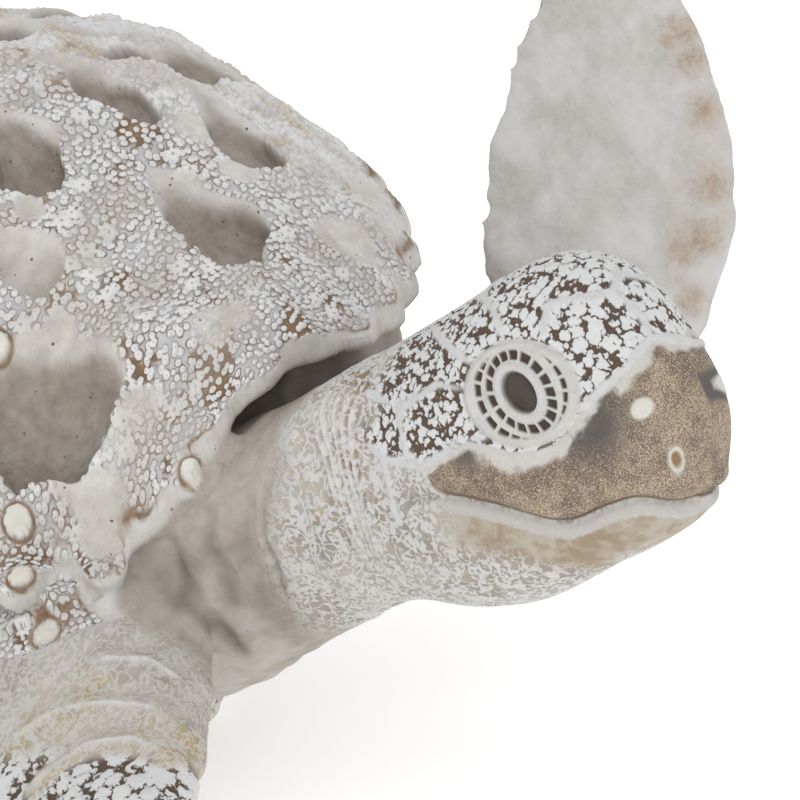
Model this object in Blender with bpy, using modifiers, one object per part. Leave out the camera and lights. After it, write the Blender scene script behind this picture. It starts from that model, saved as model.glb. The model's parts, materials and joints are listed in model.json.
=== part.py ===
"""Sea turtle statue: a swimming turtle with a coral-grown shell, cast in one with its low rock base.

The shape is worked out in millimetres and its mesh is written in metres, +Z up. The turtle heads towards -Y
and its left side is +X. The origin is on the floor, under the middle of the statue's bounding box.
"""

import math

import bmesh
import bpy
import numpy as np
from mathutils import Matrix, Vector

MM = 0.001

# Where the turtle hangs: the middle of its shell, and how its body and its head are turned
BODY_AT = Vector((38.3, 16.7, 110.0))
BODY_PITCH = math.radians(6.0)
BODY_ROLL = math.radians(-24.0)
HEAD_FROM_BODY = Vector((0.0, -170.0, 5.0))
HEAD_PITCH = math.radians(-4.5)
HEAD_ROLL = math.radians(5.4)

# Shell
SHELL_HALF_LENGTH = 104.0
SHELL_HALF_WIDTH = 87.0
SHELL_HEIGHT = 50.0
SHELL_EDGE = 5.0
SHELL_SHOULDER = 0.10
NAPE_ARCH = 24.0
NAPE_ARCH_WIDTH = 34.0
NAPE_ARCH_X = -9.0
SIDE_DROOP = 18.0
RIGHT_DROOP = 7.0
RIGHT_DROOP_X = (-48.0, -72.0)
RIGHT_DROOP_Y = (20.0, -40.0)
RIM_LOBES = 40
RIM_LOBE = 1.0

# Casting: how finely the shapes are fused, and how many faces the finished solid has
FUSE_SIZE = 1.1
FACES = 9700
FINE_FACE = 0.008

WHITEWASH = (0.71, 0.68, 0.64)

# Head and neck, from the snout back, in the head's frame: y, z of the widest line, lean in degrees,
# half width, rise above that line, drop below it, and how square the top and the bottom are
HEAD_SECTIONS = [
    (-29.5, -7.0, 0, 3.0, 3.0, 6.0, 2.2, 2.2),
    (-28.5, -7.0, 0, 7.5, 6.5, 12.0, 2.3, 2.3),
    (-26.0, -7.0, 0, 10.5, 10.5, 16.0, 2.3, 2.3),
    (-22.5, -7.5, 0, 13.2, 16.5, 18.5, 2.2, 2.3),
    (-16.0, -9.0, 0, 15.8, 24.5, 21.5, 2.2, 2.3),
    (-10.0, -9.5, 0, 17.6, 29.5, 24.5, 2.2, 2.2),
    (-4.0, -9.5, 1, 19.6, 32.0, 29.0, 2.2, 2.1),
    (5.0, -10.0, 3, 21.6, 32.5, 35.0, 2.2, 2.1),
    (16.0, -12.0, 7, 22.6, 31.0, 37.5, 2.2, 2.1),
    (30.0, -17.0, 14, 22.4, 29.5, 36.0, 2.1, 2.1),
    (46.0, -24.0, 20, 22.8, 29.0, 44.0, 2.1, 2.1),
    (62.0, -32.0, 22, 25.5, 28.3, 52.0, 2.1, 2.1),
    (85.0, -45.0, 18, 31.0, 26.0, 45.0, 2.2, 2.1),
    (110.0, -52.0, 8, 34.0, 20.0, 28.0, 2.2, 2.1),
]

# Trunk under the shell, in the body's frame: y, z, half width, rise, drop
TRUNK_SECTIONS = [
    (-98, -30, 20, 8, 14),
    (-86, -26, 44, 15, 27),
    (-56, -18, 65, 18, 31),
    (0, -8, 74, 16, 32),
    (50, -8, 58, 16, 28),
    (85, -6, 30, 12, 18),
    (98, -9, 14, 7, 10),
    (112, -14, 8, 5, 6),
    (122, -18, 3, 2.5, 2.5),
]

# Flippers, from the root out: middle x, y, z, half chord, half thickness, and the way the upper face looks.
# The front pair is placed from the floor frame's point BODY_AT, the back pair in the body's frame.
LEFT_FLIPPER = [
    (22, -72, -20, 16, 16, -0.2, 0.1, 1.0),
    (42, -90, -25, 16, 14, -0.4, 0.1, 0.9),
    (58, -107, -22, 18, 11, -0.65, -0.1, 0.7),
    (69, -117, -7, 23, 8.5, -0.8, -0.35, 0.4),
    (76, -119, 15, 27.5, 7, -0.87, -0.45, 0.2),
    (80, -117, 32, 27, 5.5, -0.87, -0.45, 0.2),
    (83, -114, 49, 22.5, 4.5, -0.87, -0.45, 0.2),
    (85, -114, 66, 15, 3.5, -0.87, -0.45, 0.2),
    (86, -115, 80, 4, 2, -0.87, -0.45, 0.2),
]
RIGHT_FLIPPER = [
    (-34, -73, -42, 24, 15, 0.0, 0.0, 1.0),
    (-52, -89, -52, 25, 13, -0.3, 0.0, 1.0),
    (-69, -105, -61, 26, 11, -0.5, 0.2, 0.9),
    (-87, -118, -66, 26, 10, -0.6, 0.2, 0.8),
    (-107, -124, -73, 26, 8, -0.5, 0.1, 0.9),
    (-126, -122, -80, 26, 6, -0.4, 0.1, 0.9),
    (-145, -114, -85, 22, 5, -0.4, 0.1, 0.9),
    (-160, -102, -88, 14, 4, -0.4, 0.1, 0.9),
    (-169, -94, -90, 4, 2.5, -0.4, 0.1, 0.9),
]
BACK_FLIPPER = [
    (20, 68, -20, 16, 14, 0, 0, 1),
    (32, 84, -20, 17, 11, 0, 0, 1),
    (44, 100, -18, 20, 8, 0, 0, 1),
    (54, 118, -16, 22, 6, 0, 0, 1),
    (62, 136, -16, 19, 4.5, 0, 0, 1),
    (68, 152, -17, 11, 3.5, 0, 0, 1),
    (72, 162, -18, 3, 2, 0, 0, 1),
]

# Rock base and the mound that carries the belly, from below the floor's cut up: z, half width, half depth, x, y
BASE_SECTIONS = [
    (-5, 71, 65, 0, 0),
    (9, 74, 68, 0, 0),
    (17, 70, 64, 1, 0),
    (22, 58, 53, 2, 0),
    (34, 43, 40, 3, 0),
    (50, 34, 34, 4, 0),
    (66, 34, 34, 6, 0),
    (90, 30, 30, 6, 0),
]
BASE_FROM_BODY = (-6.0, 14.0)
BASE_LUMP = 3.0

# Hollows over the shell's front, in plan: middle x and y, half length, half width, heading, depth
HOLLOWS = [
    (14.5, -71, 16, 8, -8, 7.5),
    (41, -54, 14, 6.5, -20, 5.5),
    (-42, -66, 24, 10.5, 40, 12),
    (3, -33, 14, 7, -25, 7),
    (28, -31, 16, 5, 0, 5),
    (-36, -91, 12, 5, 72, 2.5),
    (-18, -54, 9, 6, 10, 2),
]
# The rest of the shell carries two rings of them, each pointing out from the middle: turns from the front, and place
OUTER_HOLLOWS = ((68, 98, 128, 158, -172, -142, -112, -82), 0.66, 16, 7.5)
INNER_HOLLOWS = ((95, 140, -170, -120, -68), 0.34, 14, 7)
HOLLOW_LIP = 1.3

# Coral ribs on the shell, in plan: x and y of both ends, half width, height
RIBS = [
    (4, -102, 34, -65, 9, 2.0),
    (34, -65, 44, -18, 9, 1.5),
    (2, -98, -26, -80, 8, 2.5),
    (-26, -80, -58, -74, 7, 3.0),
    (-28, -100, -58, -80, 5, 2.5),
    (0, -92, -4, -52, 10, 1.5),
    (-4, -52, 14, 8, 10, 1.5),
]

# Coral branch ends along the right front edge: x, y, z in the body's frame and radius
KNOBS = [(-61, -77, -1, 5.5), (-57, -84, -10, 5), (-29, -98, 10, 4), (-68, -66, -9, 6), (-49, -90, -1, 4.5)]

# Head: eye ring radii, pupil half sizes, nostril and the plates' ridges on the right side as y, z pairs
EYE_RADIUS = 10.0
EYE_CELLS = 7.2
PUPIL = (4.2, 3.0)
PUPIL_TURN = math.radians(50)
NOSTRIL = (-22.3, 0.3, 2.4, 1.9)
MOUTH = [(24, -24), (15, -21.4), (4, -21.6), (-8, -23.4), (-16, -19.5), (-22, -17), (-27, -18), (-30, -17)]
RIDGES = [
    [(-11, 0), (-14, 4), (-17, 9), (-17.5, 12), (-22, 10)],
    [(-8, 21), (-13, 16.5), (-17, 12.5)],
    [(13, 14), (6, 11), (4, 9.5)],
    [(-3, 17), (-3, 10)],
    [(-3, 17), (-8, 17.5), (-12, 17.5)],
    [(23, 7.5), (12, 4.5)],
    [(31, -6), (26, -6.5), (19, -1.5), (11, -0.5)],
    [(26, -6.5), (25, -15), (20, -16), (13, -11.5), (8, -8.5)],
    [(20, -16), (15, -24)],
]
RIDGE_WIDTH = 1.1
RIDGE_HEIGHT = 0.7
CROWN_RIDGE = 0.8

# Neck folds: distance behind the eyes at which each ring starts, and how deep it is
NECK_FOLDS = [(45, 1.2), (53, 1.5), (62, 1.8), (72, 1.6)]


def turned(pitch, roll):
    return Matrix.Rotation(pitch, 4, "X") @ Matrix.Rotation(roll, 4, "Y")


BODY = Matrix.Translation(BODY_AT) @ turned(BODY_PITCH, BODY_ROLL)
HEAD_TURN = turned(HEAD_PITCH, HEAD_ROLL)
HEAD = Matrix.Translation(BODY_AT + HEAD_TURN @ HEAD_FROM_BODY) @ HEAD_TURN
UPRIGHT = Matrix.Translation(BODY_AT)


def eased(stations, count):
    """The rows of stations, read at count even steps along a smooth curve through them."""
    rows = np.array(stations, float)
    slope = np.gradient(rows, axis=0)
    place = np.linspace(0, len(rows) - 1, count)
    low = np.minimum(place.astype(int), len(rows) - 2)
    t = (place - low)[:, None]
    return ((2 * t**3 - 3 * t**2 + 1) * rows[low] + (t**3 - 2 * t**2 + t) * slope[low]
            + (3 * t**2 - 2 * t**3) * rows[low + 1] + (t**3 - t**2) * slope[low + 1])


def fade(start, end, value):
    """0 up to start, 1 from end on, and smooth between them."""
    t = np.clip((value - start) / (end - start), 0, 1)
    return t * t * (3 - 2 * t)


def bump(value, width):
    return np.exp(-(value / width) ** 2)


def lumps(points, size, seed, waves=14):
    """Smooth random swells about as wide as size, between about -1 and 1."""
    random = np.random.default_rng(seed)
    way = random.normal(size=(waves, 3))
    way *= (random.uniform(0.7, 1.4, waves) * math.pi / size / np.linalg.norm(way, axis=1))[:, None]
    phase = random.uniform(0, 2 * math.pi, waves)
    return np.sin(points @ way.T + phase).sum(1) / math.sqrt(waves)


def to_segment(x, y, ax, ay, bx, by):
    """Distance in the plane from points to the line between two ends."""
    along = np.clip(((x - ax) * (bx - ax) + (y - ay) * (by - ay)) / ((bx - ax) ** 2 + (by - ay) ** 2), 0, 1)
    return np.hypot(x - ax - along * (bx - ax), y - ay - along * (by - ay))


def to_line(x, y, corners):
    ends = zip(corners, corners[1:])
    return np.min([to_segment(x, y, *a, *b) for a, b in ends], axis=0)


def skin_rings(shape, rings, frame):
    """Adds a closed surface through rings of points, each end fanned shut."""
    loops = [[shape.verts.new(frame @ Vector(p)) for p in ring] for ring in rings]
    count = len(loops[0])
    faces = []
    for near, far in zip(loops, loops[1:]):
        for k in range(count):
            faces.append(shape.faces.new((near[k], near[(k + 1) % count], far[(k + 1) % count], far[k])))
    for loop in (loops[0], loops[-1]):
        middle = shape.verts.new(sum((v.co for v in loop), Vector()) / count)
        for k in range(count):
            faces.append(shape.faces.new((loop[k], loop[(k + 1) % count], middle)))
    bmesh.ops.recalc_face_normals(shape, faces=faces)


def section_ring(y, z, lean, half_width, rise, drop, top, bottom, count):
    """An egg-shaped outline across the neck or the trunk, leaning about the sideways axis."""
    turn = np.linspace(0, 2 * math.pi, count, endpoint=False)
    upper = np.sin(turn) >= 0
    power = np.where(upper, 2 / top, 2 / bottom)
    x = half_width * np.sign(np.cos(turn)) * np.abs(np.cos(turn)) ** power
    h = np.where(upper, rise, drop) * np.sign(np.sin(turn)) * np.abs(np.sin(turn)) ** power
    lean = math.radians(lean)
    return np.stack([x, y - h * math.sin(lean), z + h * math.cos(lean)], -1)


def add_head(shape, rings=60, count=40):
    skin_rings(shape, [section_ring(*row, count) for row in eased(HEAD_SECTIONS, rings)], HEAD)


def add_trunk(shape, rings=30, count=36):
    rows = eased(TRUNK_SECTIONS, rings)
    skin_rings(shape, [section_ring(y, z, 0, w, up, down, 2.4, 2.6, count) for y, z, w, up, down in rows], BODY)


def rim_height(x, y):
    """How far the shell's edge stands off its plane: up over the neck, down at the sides, most at the right front."""
    front = np.clip(-y / SHELL_HALF_LENGTH, 0, 1) ** 2
    side = (x / SHELL_HALF_WIDTH) ** 2
    arch = NAPE_ARCH * bump(x - NAPE_ARCH_X, NAPE_ARCH_WIDTH) * front
    return arch - SIDE_DROOP * side - RIGHT_DROOP * fade(*RIGHT_DROOP_X, x) * fade(*RIGHT_DROOP_Y, y)


def shell_reach(x, y):
    """0 in the middle of the shell and 1 on its edge, in plan."""
    forward = -y / SHELL_HALF_LENGTH
    return np.hypot(forward, x / SHELL_HALF_WIDTH / (1 + SHELL_SHOULDER * forward))


def add_shell(shape, rings=22, count=240):
    turn = np.linspace(0, 2 * math.pi, count, endpoint=False)
    lobe = RIM_LOBE / SHELL_HALF_WIDTH * (np.abs(np.sin(turn * RIM_LOBES / 2)) * 2 - 1.2)
    x_edge = SHELL_HALF_WIDTH * np.sin(turn) * (1 + SHELL_SHOULDER * np.cos(turn))
    y_edge = -SHELL_HALF_LENGTH * np.cos(turn)
    loops = []
    for reach in np.sin(np.linspace(0.04, 1, rings) * math.pi / 2):
        scale = reach * (1 + lobe * reach**10)
        x = x_edge * scale
        y = y_edge * scale
        z = rim_height(x, y) * reach**2 + SHELL_HEIGHT * (1 - reach**2.2) ** 0.8
        loops.append(np.stack([x, y, z], -1))
    edge = loops[-1] - np.array([0, 0, SHELL_EDGE])
    loops.append(edge)
    loops.append(edge * np.array([0.8, 0.8, 1]) - np.array([0, 0, 4]))
    skin_rings(shape, loops, BODY)


def add_knobs(shape):
    for x, y, z, radius in KNOBS:
        at = BODY @ Matrix.Translation((x, y, z))
        bmesh.ops.create_uvsphere(shape, u_segments=20, v_segments=12, radius=radius, matrix=at)


def add_flipper(shape, stations, frame, side=1, rings=40, count=32):
    """A paddle through its stations, thick at the leading edge and thin at the trailing one."""
    rows = eased(stations, rings) * np.array([side, 1, 1, 1, 1, side, 1, 1])
    middle = rows[:, :3]
    along = np.gradient(middle, axis=0)
    along /= np.linalg.norm(along, axis=1, keepdims=True)
    lead = np.cross(rows[:, 5:8], along)
    lead *= -np.sign(lead[rings // 3, 1]) / np.linalg.norm(lead, axis=1, keepdims=True)
    face = np.cross(along, lead)
    turn = np.linspace(0, 2 * math.pi, count, endpoint=False)
    across = np.cos(turn)
    thick = np.sin(turn) * (0.8 + 0.35 * across)
    loops = []
    for c, chord, depth, l, f in zip(middle, rows[:, 3], rows[:, 4], lead, face):
        loops.append(c + np.outer(chord * across, l) + np.outer(depth * thick, f))
    skin_rings(shape, loops, frame)


def add_base(shape, rings=30, count=72):
    turn = np.linspace(0, 2 * math.pi, count, endpoint=False)
    loops = []
    for z, wide, deep, off_x, off_y in eased(BASE_SECTIONS, rings):
        loops.append(np.stack([wide * np.cos(turn) + off_x, deep * np.sin(turn) + off_y, np.full(count, z)], -1))
    at = Vector((BODY_AT.x + BASE_FROM_BODY[0], BODY_AT.y + BASE_FROM_BODY[1], 0))
    skin_rings(shape, loops, Matrix.Translation(at))


def fused(name):
    """One closed mesh of all the shapes, in millimetres."""
    shape = bmesh.new()
    add_head(shape)
    add_trunk(shape)
    add_shell(shape)
    add_knobs(shape)
    add_flipper(shape, LEFT_FLIPPER, UPRIGHT)
    add_flipper(shape, RIGHT_FLIPPER, UPRIGHT)
    add_flipper(shape, BACK_FLIPPER, BODY)
    add_flipper(shape, BACK_FLIPPER, BODY, side=-1)
    add_base(shape)
    mesh = bpy.data.meshes.new(name)
    shape.to_mesh(mesh)
    shape.free()
    blank = bpy.data.objects.new(name, mesh)
    bpy.context.scene.collection.objects.link(blank)
    remesh = blank.modifiers.new("Fuse", "REMESH")
    remesh.mode = "VOXEL"
    remesh.voxel_size = FUSE_SIZE
    result = bpy.data.meshes.new_from_object(blank.evaluated_get(bpy.context.evaluated_depsgraph_get()))
    bpy.data.objects.remove(blank)
    return result


def points_of(mesh):
    flat = np.empty(len(mesh.vertices) * 3)
    mesh.vertices.foreach_get("co", flat)
    return flat.reshape(-1, 3)


def normals_of(mesh):
    flat = np.empty(len(mesh.vertices) * 3)
    mesh.vertex_normals.foreach_get("vector", flat)
    return flat.reshape(-1, 3)


def place_points(mesh, points):
    mesh.vertices.foreach_set("co", points.ravel())
    mesh.update()


def relaxed(mesh, rounds, keep):
    """Eases the creases where the shapes meet; keep holds points back from 0, free, to 1, fixed."""
    ends = np.empty(len(mesh.edges) * 2, np.int32)
    mesh.edges.foreach_get("vertices", ends)
    start, end = ends.reshape(-1, 2).T
    points = points_of(mesh)
    count = len(points)
    near = np.bincount(ends, minlength=count)
    for step in range(rounds * 2):
        pull = (0.6 if step % 2 == 0 else -0.5) * (1 - keep)
        for axis in range(3):
            value = points[:, axis]
            total = np.bincount(start, value[end], count) + np.bincount(end, value[start], count)
            points[:, axis] = value + pull * (total / near - value)
    place_points(mesh, points)


def inside(frame, points):
    """Points in a frame's own directions, from its middle."""
    turn = np.array(frame.to_3x3())
    return (points - np.array(frame.translation)) @ turn


def all_hollows():
    found = list(HOLLOWS)
    for turns, reach, length, width in (OUTER_HOLLOWS, INNER_HOLLOWS):
        for heading in turns:
            x = reach * SHELL_HALF_WIDTH * math.sin(math.radians(heading))
            y = -reach * SHELL_HALF_LENGTH * math.cos(math.radians(heading))
            found.append((x, y, length, width, heading, width))
    return found


def hollow_depth(x, y):
    """Depth of the shell's leaf-shaped hollows below its dome, with a raised lip round each."""
    depth = np.zeros_like(x)
    for at_x, at_y, length, width, heading, deep in all_hollows():
        heading = math.radians(heading)
        along = (x - at_x) * math.sin(heading) - (y - at_y) * math.cos(heading)
        across = (x - at_x) * math.cos(heading) + (y - at_y) * math.sin(heading)
        edge = np.hypot(along / length, across / (width * (1 + 0.3 * np.clip(along / length, -1, 1))))
        depth = np.maximum(depth, deep * (1 - fade(0.55, 1.0, edge)))
        depth -= HOLLOW_LIP * bump(edge - 1.15, 0.13) * (depth < 0.2)
    return depth


def rib_height(x, y):
    height = np.zeros_like(x)
    for ax, ay, bx, by, width, high in RIBS:
        height = np.maximum(height, high * bump(to_segment(x, y, ax, ay, bx, by), width * 0.7))
    return height


def on_shell(points):
    """1 on the shell and its edge, 0 on the skin below."""
    at = inside(BODY, points)
    x, y = at[:, 0], at[:, 1]
    reach = shell_reach(x, y)
    return fade(1.12, 1.06, reach) * fade(-8, -5, at[:, 2] - rim_height(x, y) * np.minimum(reach, 1) ** 2)


def carve_shell(points, normals):
    """Lowers and raises the top of the shell along its own upward axis."""
    at = inside(BODY, points)
    up = (normals @ np.array(BODY.to_3x3()))[:, 2]
    x, y = at[:, 0], at[:, 1]
    reach = shell_reach(x, y)
    top = fade(0.05, 0.35, up) * (reach < 1.03) * (at[:, 2] > rim_height(x, y) * reach**2 - 2)
    dome = 1 - fade(0.86, 0.98, reach)
    swell = 1.0 * lumps(at, 22, 3) * dome
    rise = (rib_height(x, y) - hollow_depth(x, y)) * dome + swell
    return points + np.outer(rise * top, np.array(BODY.to_3x3())[:, 2])


def carve_head(points, normals):
    """Eyes, nostrils, mouth, plate ridges and neck folds, raised or sunk along the surface."""
    at = inside(HEAD, points)
    side, y, z = np.abs(at[:, 0]), at[:, 1], at[:, 2]
    near = (y < 40) & (z > -60)
    flank = fade(0.35, 0.6, np.abs((normals @ np.array(HEAD.to_3x3()))[:, 0])) * near
    ring = np.hypot(y, z)
    rise = 1.2 * (1 - fade(7, 11.5, ring)) + 1.0 * bump(ring - EYE_RADIUS, 1.0)
    rise -= 0.9 * bump(ring - EYE_CELLS, 1.3)
    along = y * math.cos(PUPIL_TURN) + z * math.sin(PUPIL_TURN)
    across = -y * math.sin(PUPIL_TURN) + z * math.cos(PUPIL_TURN)
    pupil = np.hypot(along / PUPIL[0], across / PUPIL[1])
    rise -= 1.8 * (1 - fade(0.6, 1.05, pupil))
    plates = np.max([bump(to_line(y, z, line), RIDGE_WIDTH) for line in RIDGES], axis=0)
    rise += RIDGE_HEIGHT * plates * (ring > EYE_RADIUS)
    rise += 0.9 * (1 - fade(0.7, 1.1, np.hypot((y - NOSTRIL[0]) / NOSTRIL[2], (z - NOSTRIL[1]) / NOSTRIL[3])))
    rise *= np.maximum(flank, fade(-15, -20, y) * (side > 7) * near)
    lip = to_line(y, z, MOUTH)
    rise -= 1.3 * bump(lip, 1.0) * near * (side > 3)
    rise += 0.5 * bump(lip - 2.5, 1.3) * (z > -19) * near * (side > 3)
    rise += CROWN_RIDGE * bump(side, 1.4) * (z > 8) * near * fade(24, 18, y)
    fold_at = y + 0.35 * z + 8
    on_neck = fade(38, 46, fold_at) * fade(32, 25, side) * fade(-75, -55, z) * (1 - on_shell(points))
    for distance, depth in NECK_FOLDS:
        rise -= depth * bump(fold_at - distance - 2.5 * np.sin(z / 11), 1.7) * on_neck
    return points + normals * rise[:, None]


def carve_base(points, normals):
    """Rough rock: swells and pits on the base and its mound."""
    middle = np.array([BODY_AT.x + BASE_FROM_BODY[0], BODY_AT.y + BASE_FROM_BODY[1]])
    from_axis = np.hypot(*(points[:, :2] - middle).T)
    rock = fade(62, 50, points[:, 2]) * (from_axis < 85) * fade(-46, -38, points[:, 1])
    rise = BASE_LUMP * lumps(points, 17, 11) + 0.25 * BASE_LUMP * lumps(points, 9, 12)
    return points + normals * (rise * rock)[:, None]


def floor_cutter(name, collection):
    """A block below Z = 0 that leaves the base's underside flat."""
    mesh = bpy.data.meshes.new(name)
    shape = bmesh.new()
    bmesh.ops.create_cube(shape, size=1)
    shape.to_mesh(mesh)
    shape.free()
    cutter = bpy.data.objects.new(name, mesh)
    cutter.location = (0, 0, -0.5)
    cutter.hide_render = True
    cutter.display_type = "WIRE"
    collection.objects.link(cutter)
    return cutter


def statue(name, collection, floor):
    mesh = fused(name)
    relaxed(mesh, 4, np.zeros(len(mesh.vertices)))
    relaxed(mesh, 30, on_shell(points_of(mesh)))
    for carve in (carve_shell, carve_head, carve_base):
        place_points(mesh, carve(points_of(mesh), normals_of(mesh)))
    points = points_of(mesh)
    at = inside(HEAD, points)
    face = fade(50, 36, at[:, 1]) * fade(-60, -45, at[:, 2])
    place_points(mesh, points * MM)
    mesh.polygons.foreach_set("use_smooth", [True] * len(mesh.polygons))
    obj = bpy.data.objects.new(name, mesh)
    collection.objects.link(obj)
    plain = obj.vertex_groups.new(name="Plain")
    for level in range(5):
        plain.add(np.flatnonzero(np.round(face * 4) == level).tolist(), 1 - level / 5, "REPLACE")
    fewer = obj.modifiers.new("Fewer faces", "DECIMATE")
    fewer.ratio = FACES / (2 * len(mesh.polygons))
    fewer.vertex_group = plain.name
    fewer.vertex_group_factor = FINE_FACE
    flat = obj.modifiers.new("Flat underside", "BOOLEAN")
    flat.operation = "DIFFERENCE"
    flat.object = floor
    return obj


def resin(name, colour, roughness):
    material = bpy.data.materials.new(name)
    material.use_nodes = True
    shader = material.node_tree.nodes["Principled BSDF"]
    shader.inputs["Base Color"].default_value = (*colour, 1)
    shader.inputs["Roughness"].default_value = roughness
    shader.inputs["Metallic"].default_value = 0.0
    return material


for old in list(bpy.data.objects):
    bpy.data.objects.remove(old)
turtle = bpy.data.collections.new("turtle_statue")
bpy.context.scene.collection.children.link(turtle)
cutters = bpy.data.collections.new("turtle_statue cutters")
bpy.context.scene.collection.children.link(cutters)
cast = statue("turtle_statue", turtle, floor_cutter("below_the_floor", cutters))
cast.data.materials.clear()
cast.data.materials.append(resin("whitewashed resin", WHITEWASH, 0.7))
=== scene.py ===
"""Whitewashed sea turtle statue with a coral-grown shell: the painted casting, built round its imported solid.

Shapes are worked out in millimetres and written in metres, in the solid's own frame: the turtle heads towards -Y,
its left side is +X and the floor is Z = 0.
"""

import json
import math

import bmesh
import bpy
import numpy as np
from mathutils import Matrix, Vector

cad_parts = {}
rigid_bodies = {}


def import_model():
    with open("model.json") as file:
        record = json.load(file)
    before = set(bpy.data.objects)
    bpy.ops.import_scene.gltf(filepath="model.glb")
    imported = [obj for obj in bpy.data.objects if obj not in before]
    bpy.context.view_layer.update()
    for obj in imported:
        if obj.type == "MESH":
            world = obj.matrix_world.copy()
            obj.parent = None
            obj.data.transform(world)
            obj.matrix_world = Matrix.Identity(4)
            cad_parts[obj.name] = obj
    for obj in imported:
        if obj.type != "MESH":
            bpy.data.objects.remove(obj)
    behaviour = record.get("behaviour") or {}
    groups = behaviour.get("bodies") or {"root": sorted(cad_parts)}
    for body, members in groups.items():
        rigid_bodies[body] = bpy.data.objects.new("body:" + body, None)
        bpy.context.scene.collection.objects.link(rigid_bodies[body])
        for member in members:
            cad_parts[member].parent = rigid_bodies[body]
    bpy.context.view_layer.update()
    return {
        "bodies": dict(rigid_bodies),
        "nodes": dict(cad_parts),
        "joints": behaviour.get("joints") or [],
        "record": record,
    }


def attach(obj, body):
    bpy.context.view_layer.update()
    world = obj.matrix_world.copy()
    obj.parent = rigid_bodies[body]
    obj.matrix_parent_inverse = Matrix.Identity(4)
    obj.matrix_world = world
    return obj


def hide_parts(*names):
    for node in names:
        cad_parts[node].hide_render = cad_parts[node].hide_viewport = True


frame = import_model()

MM = 0.001

# Camera: a long lens, as in the photo, turned 50 degrees towards the turtle's right side and looking 22 degrees
# down on it.

VIEW_AZIMUTH = math.radians(-50)
VIEW_ELEVATION = math.radians(22)
VIEW_DISTANCE = 0.5
VIEW_MIDDLE = Vector((0.0071, -0.1353, 0.1286))
VIEW_LENS = 125

view_back = Vector((math.sin(VIEW_AZIMUTH) * math.cos(VIEW_ELEVATION),
                    -math.cos(VIEW_AZIMUTH) * math.cos(VIEW_ELEVATION), math.sin(VIEW_ELEVATION)))
camera = bpy.data.objects.new("camera", bpy.data.cameras.new("camera"))
bpy.context.scene.collection.objects.link(camera)
camera.data.lens = VIEW_LENS
camera.data.sensor_width = 36
camera.data.clip_start = 0.01
camera.location = VIEW_MIDDLE + view_back * VIEW_DISTANCE
camera.rotation_euler = view_back.to_track_quat("Z", "Y").to_euler()
bpy.context.scene.camera = camera
bpy.context.scene.view_settings.view_transform = "Standard"

# Floor and studio light: a seamless white sweep under an even white sky, with one large softbox above and to the
# left of the camera. The sweep is painted matt, so nothing of the light mirrors in it.

FLOOR_HALF = 4.0
FLOOR_WHITES = ("fdfdfc", "fafafa")
FLOOR_GLOW = 0.35
ROLLER_MOTTLE = 0.111
SKY_STRENGTH = 0.8
SOFTBOX_AT = Vector((-0.9, -0.9, 1.5))
SOFTBOX_SIZE = 1.1
SOFTBOX_POWER = 9


def paint(code):
    """An sRGB hex colour as the linear colour that the shader wants."""
    parts = [int(code[k:k + 2], 16) / 255 for k in (0, 2, 4)]
    return (*[p / 12.92 if p <= 0.04045 else ((p + 0.055) / 1.055) ** 2.4 for p in parts], 1.0)


def add(tree, kind, inputs=(), output=0, **settings):
    """Adds a node with its settings, links or fills its inputs, and gives back one output, or else itself."""
    node = tree.nodes.new(kind)
    for name, value in settings.items():
        setattr(node, name, value)
    for place, value in dict(inputs).items():
        if isinstance(value, bpy.types.NodeSocket):
            tree.links.new(value, node.inputs[place])
        else:
            node.inputs[place].default_value = value
    return node if output is None else node.outputs[output]


# matt emulsion on a paper sweep: no gloss at all, and a faint mottle from the roller
sweep_paint = bpy.data.materials.new("matt emulsion sweep")
sweep_paint.use_nodes = True
sweep_tree = sweep_paint.node_tree
sweep_shader = sweep_tree.nodes["Principled BSDF"]
sweep_place = add(sweep_tree, "ShaderNodeTexCoord", output=3)
sweep_mottle = add(sweep_tree, "ShaderNodeTexNoise", {0: sweep_place, 2: 1 / ROLLER_MOTTLE, 3: 3.0})
sweep_tone = add(sweep_tree, "ShaderNodeMix", {0: sweep_mottle, 6: paint(FLOOR_WHITES[0]), 7: paint(FLOOR_WHITES[1])},
                 2, data_type="RGBA")
sweep_tree.links.new(sweep_tone, sweep_shader.inputs["Base Color"])
sweep_shader.inputs["Roughness"].default_value = 0.95
sweep_shader.inputs["Specular IOR Level"].default_value = 0.1
sweep_shader.inputs["Emission Color"].default_value = (1, 1, 1, 1)
sweep_shader.inputs["Emission Strength"].default_value = FLOOR_GLOW

sweep_shape = bmesh.new()
bmesh.ops.create_grid(sweep_shape, x_segments=1, y_segments=1, size=FLOOR_HALF)
sweep_mesh = bpy.data.meshes.new("floor")
sweep_shape.to_mesh(sweep_mesh)
sweep_shape.free()
sweep_mesh.materials.append(sweep_paint)
floor = bpy.data.objects.new("floor", sweep_mesh)
bpy.context.scene.collection.objects.link(floor)

sky = bpy.data.worlds.new("white sky")
sky.use_nodes = True
sky.node_tree.nodes["Background"].inputs["Color"].default_value = (1, 1, 1, 1)
sky.node_tree.nodes["Background"].inputs["Strength"].default_value = SKY_STRENGTH
bpy.context.scene.world = sky
softbox = bpy.data.objects.new("softbox", bpy.data.lights.new("softbox", "AREA"))
softbox.data.size = SOFTBOX_SIZE
softbox.data.energy = SOFTBOX_POWER
softbox.location = SOFTBOX_AT
softbox.rotation_euler = (SOFTBOX_AT - VIEW_MIDDLE).to_track_quat("Z", "Y").to_euler()
bpy.context.scene.collection.objects.link(softbox)

# Head and neck: part of the one polyester resin casting that is the whole turtle. Here they are one egg-shaped
# form from the snout to under the shell, as a modeller builds it up, and the forms below are fused with it.

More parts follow.
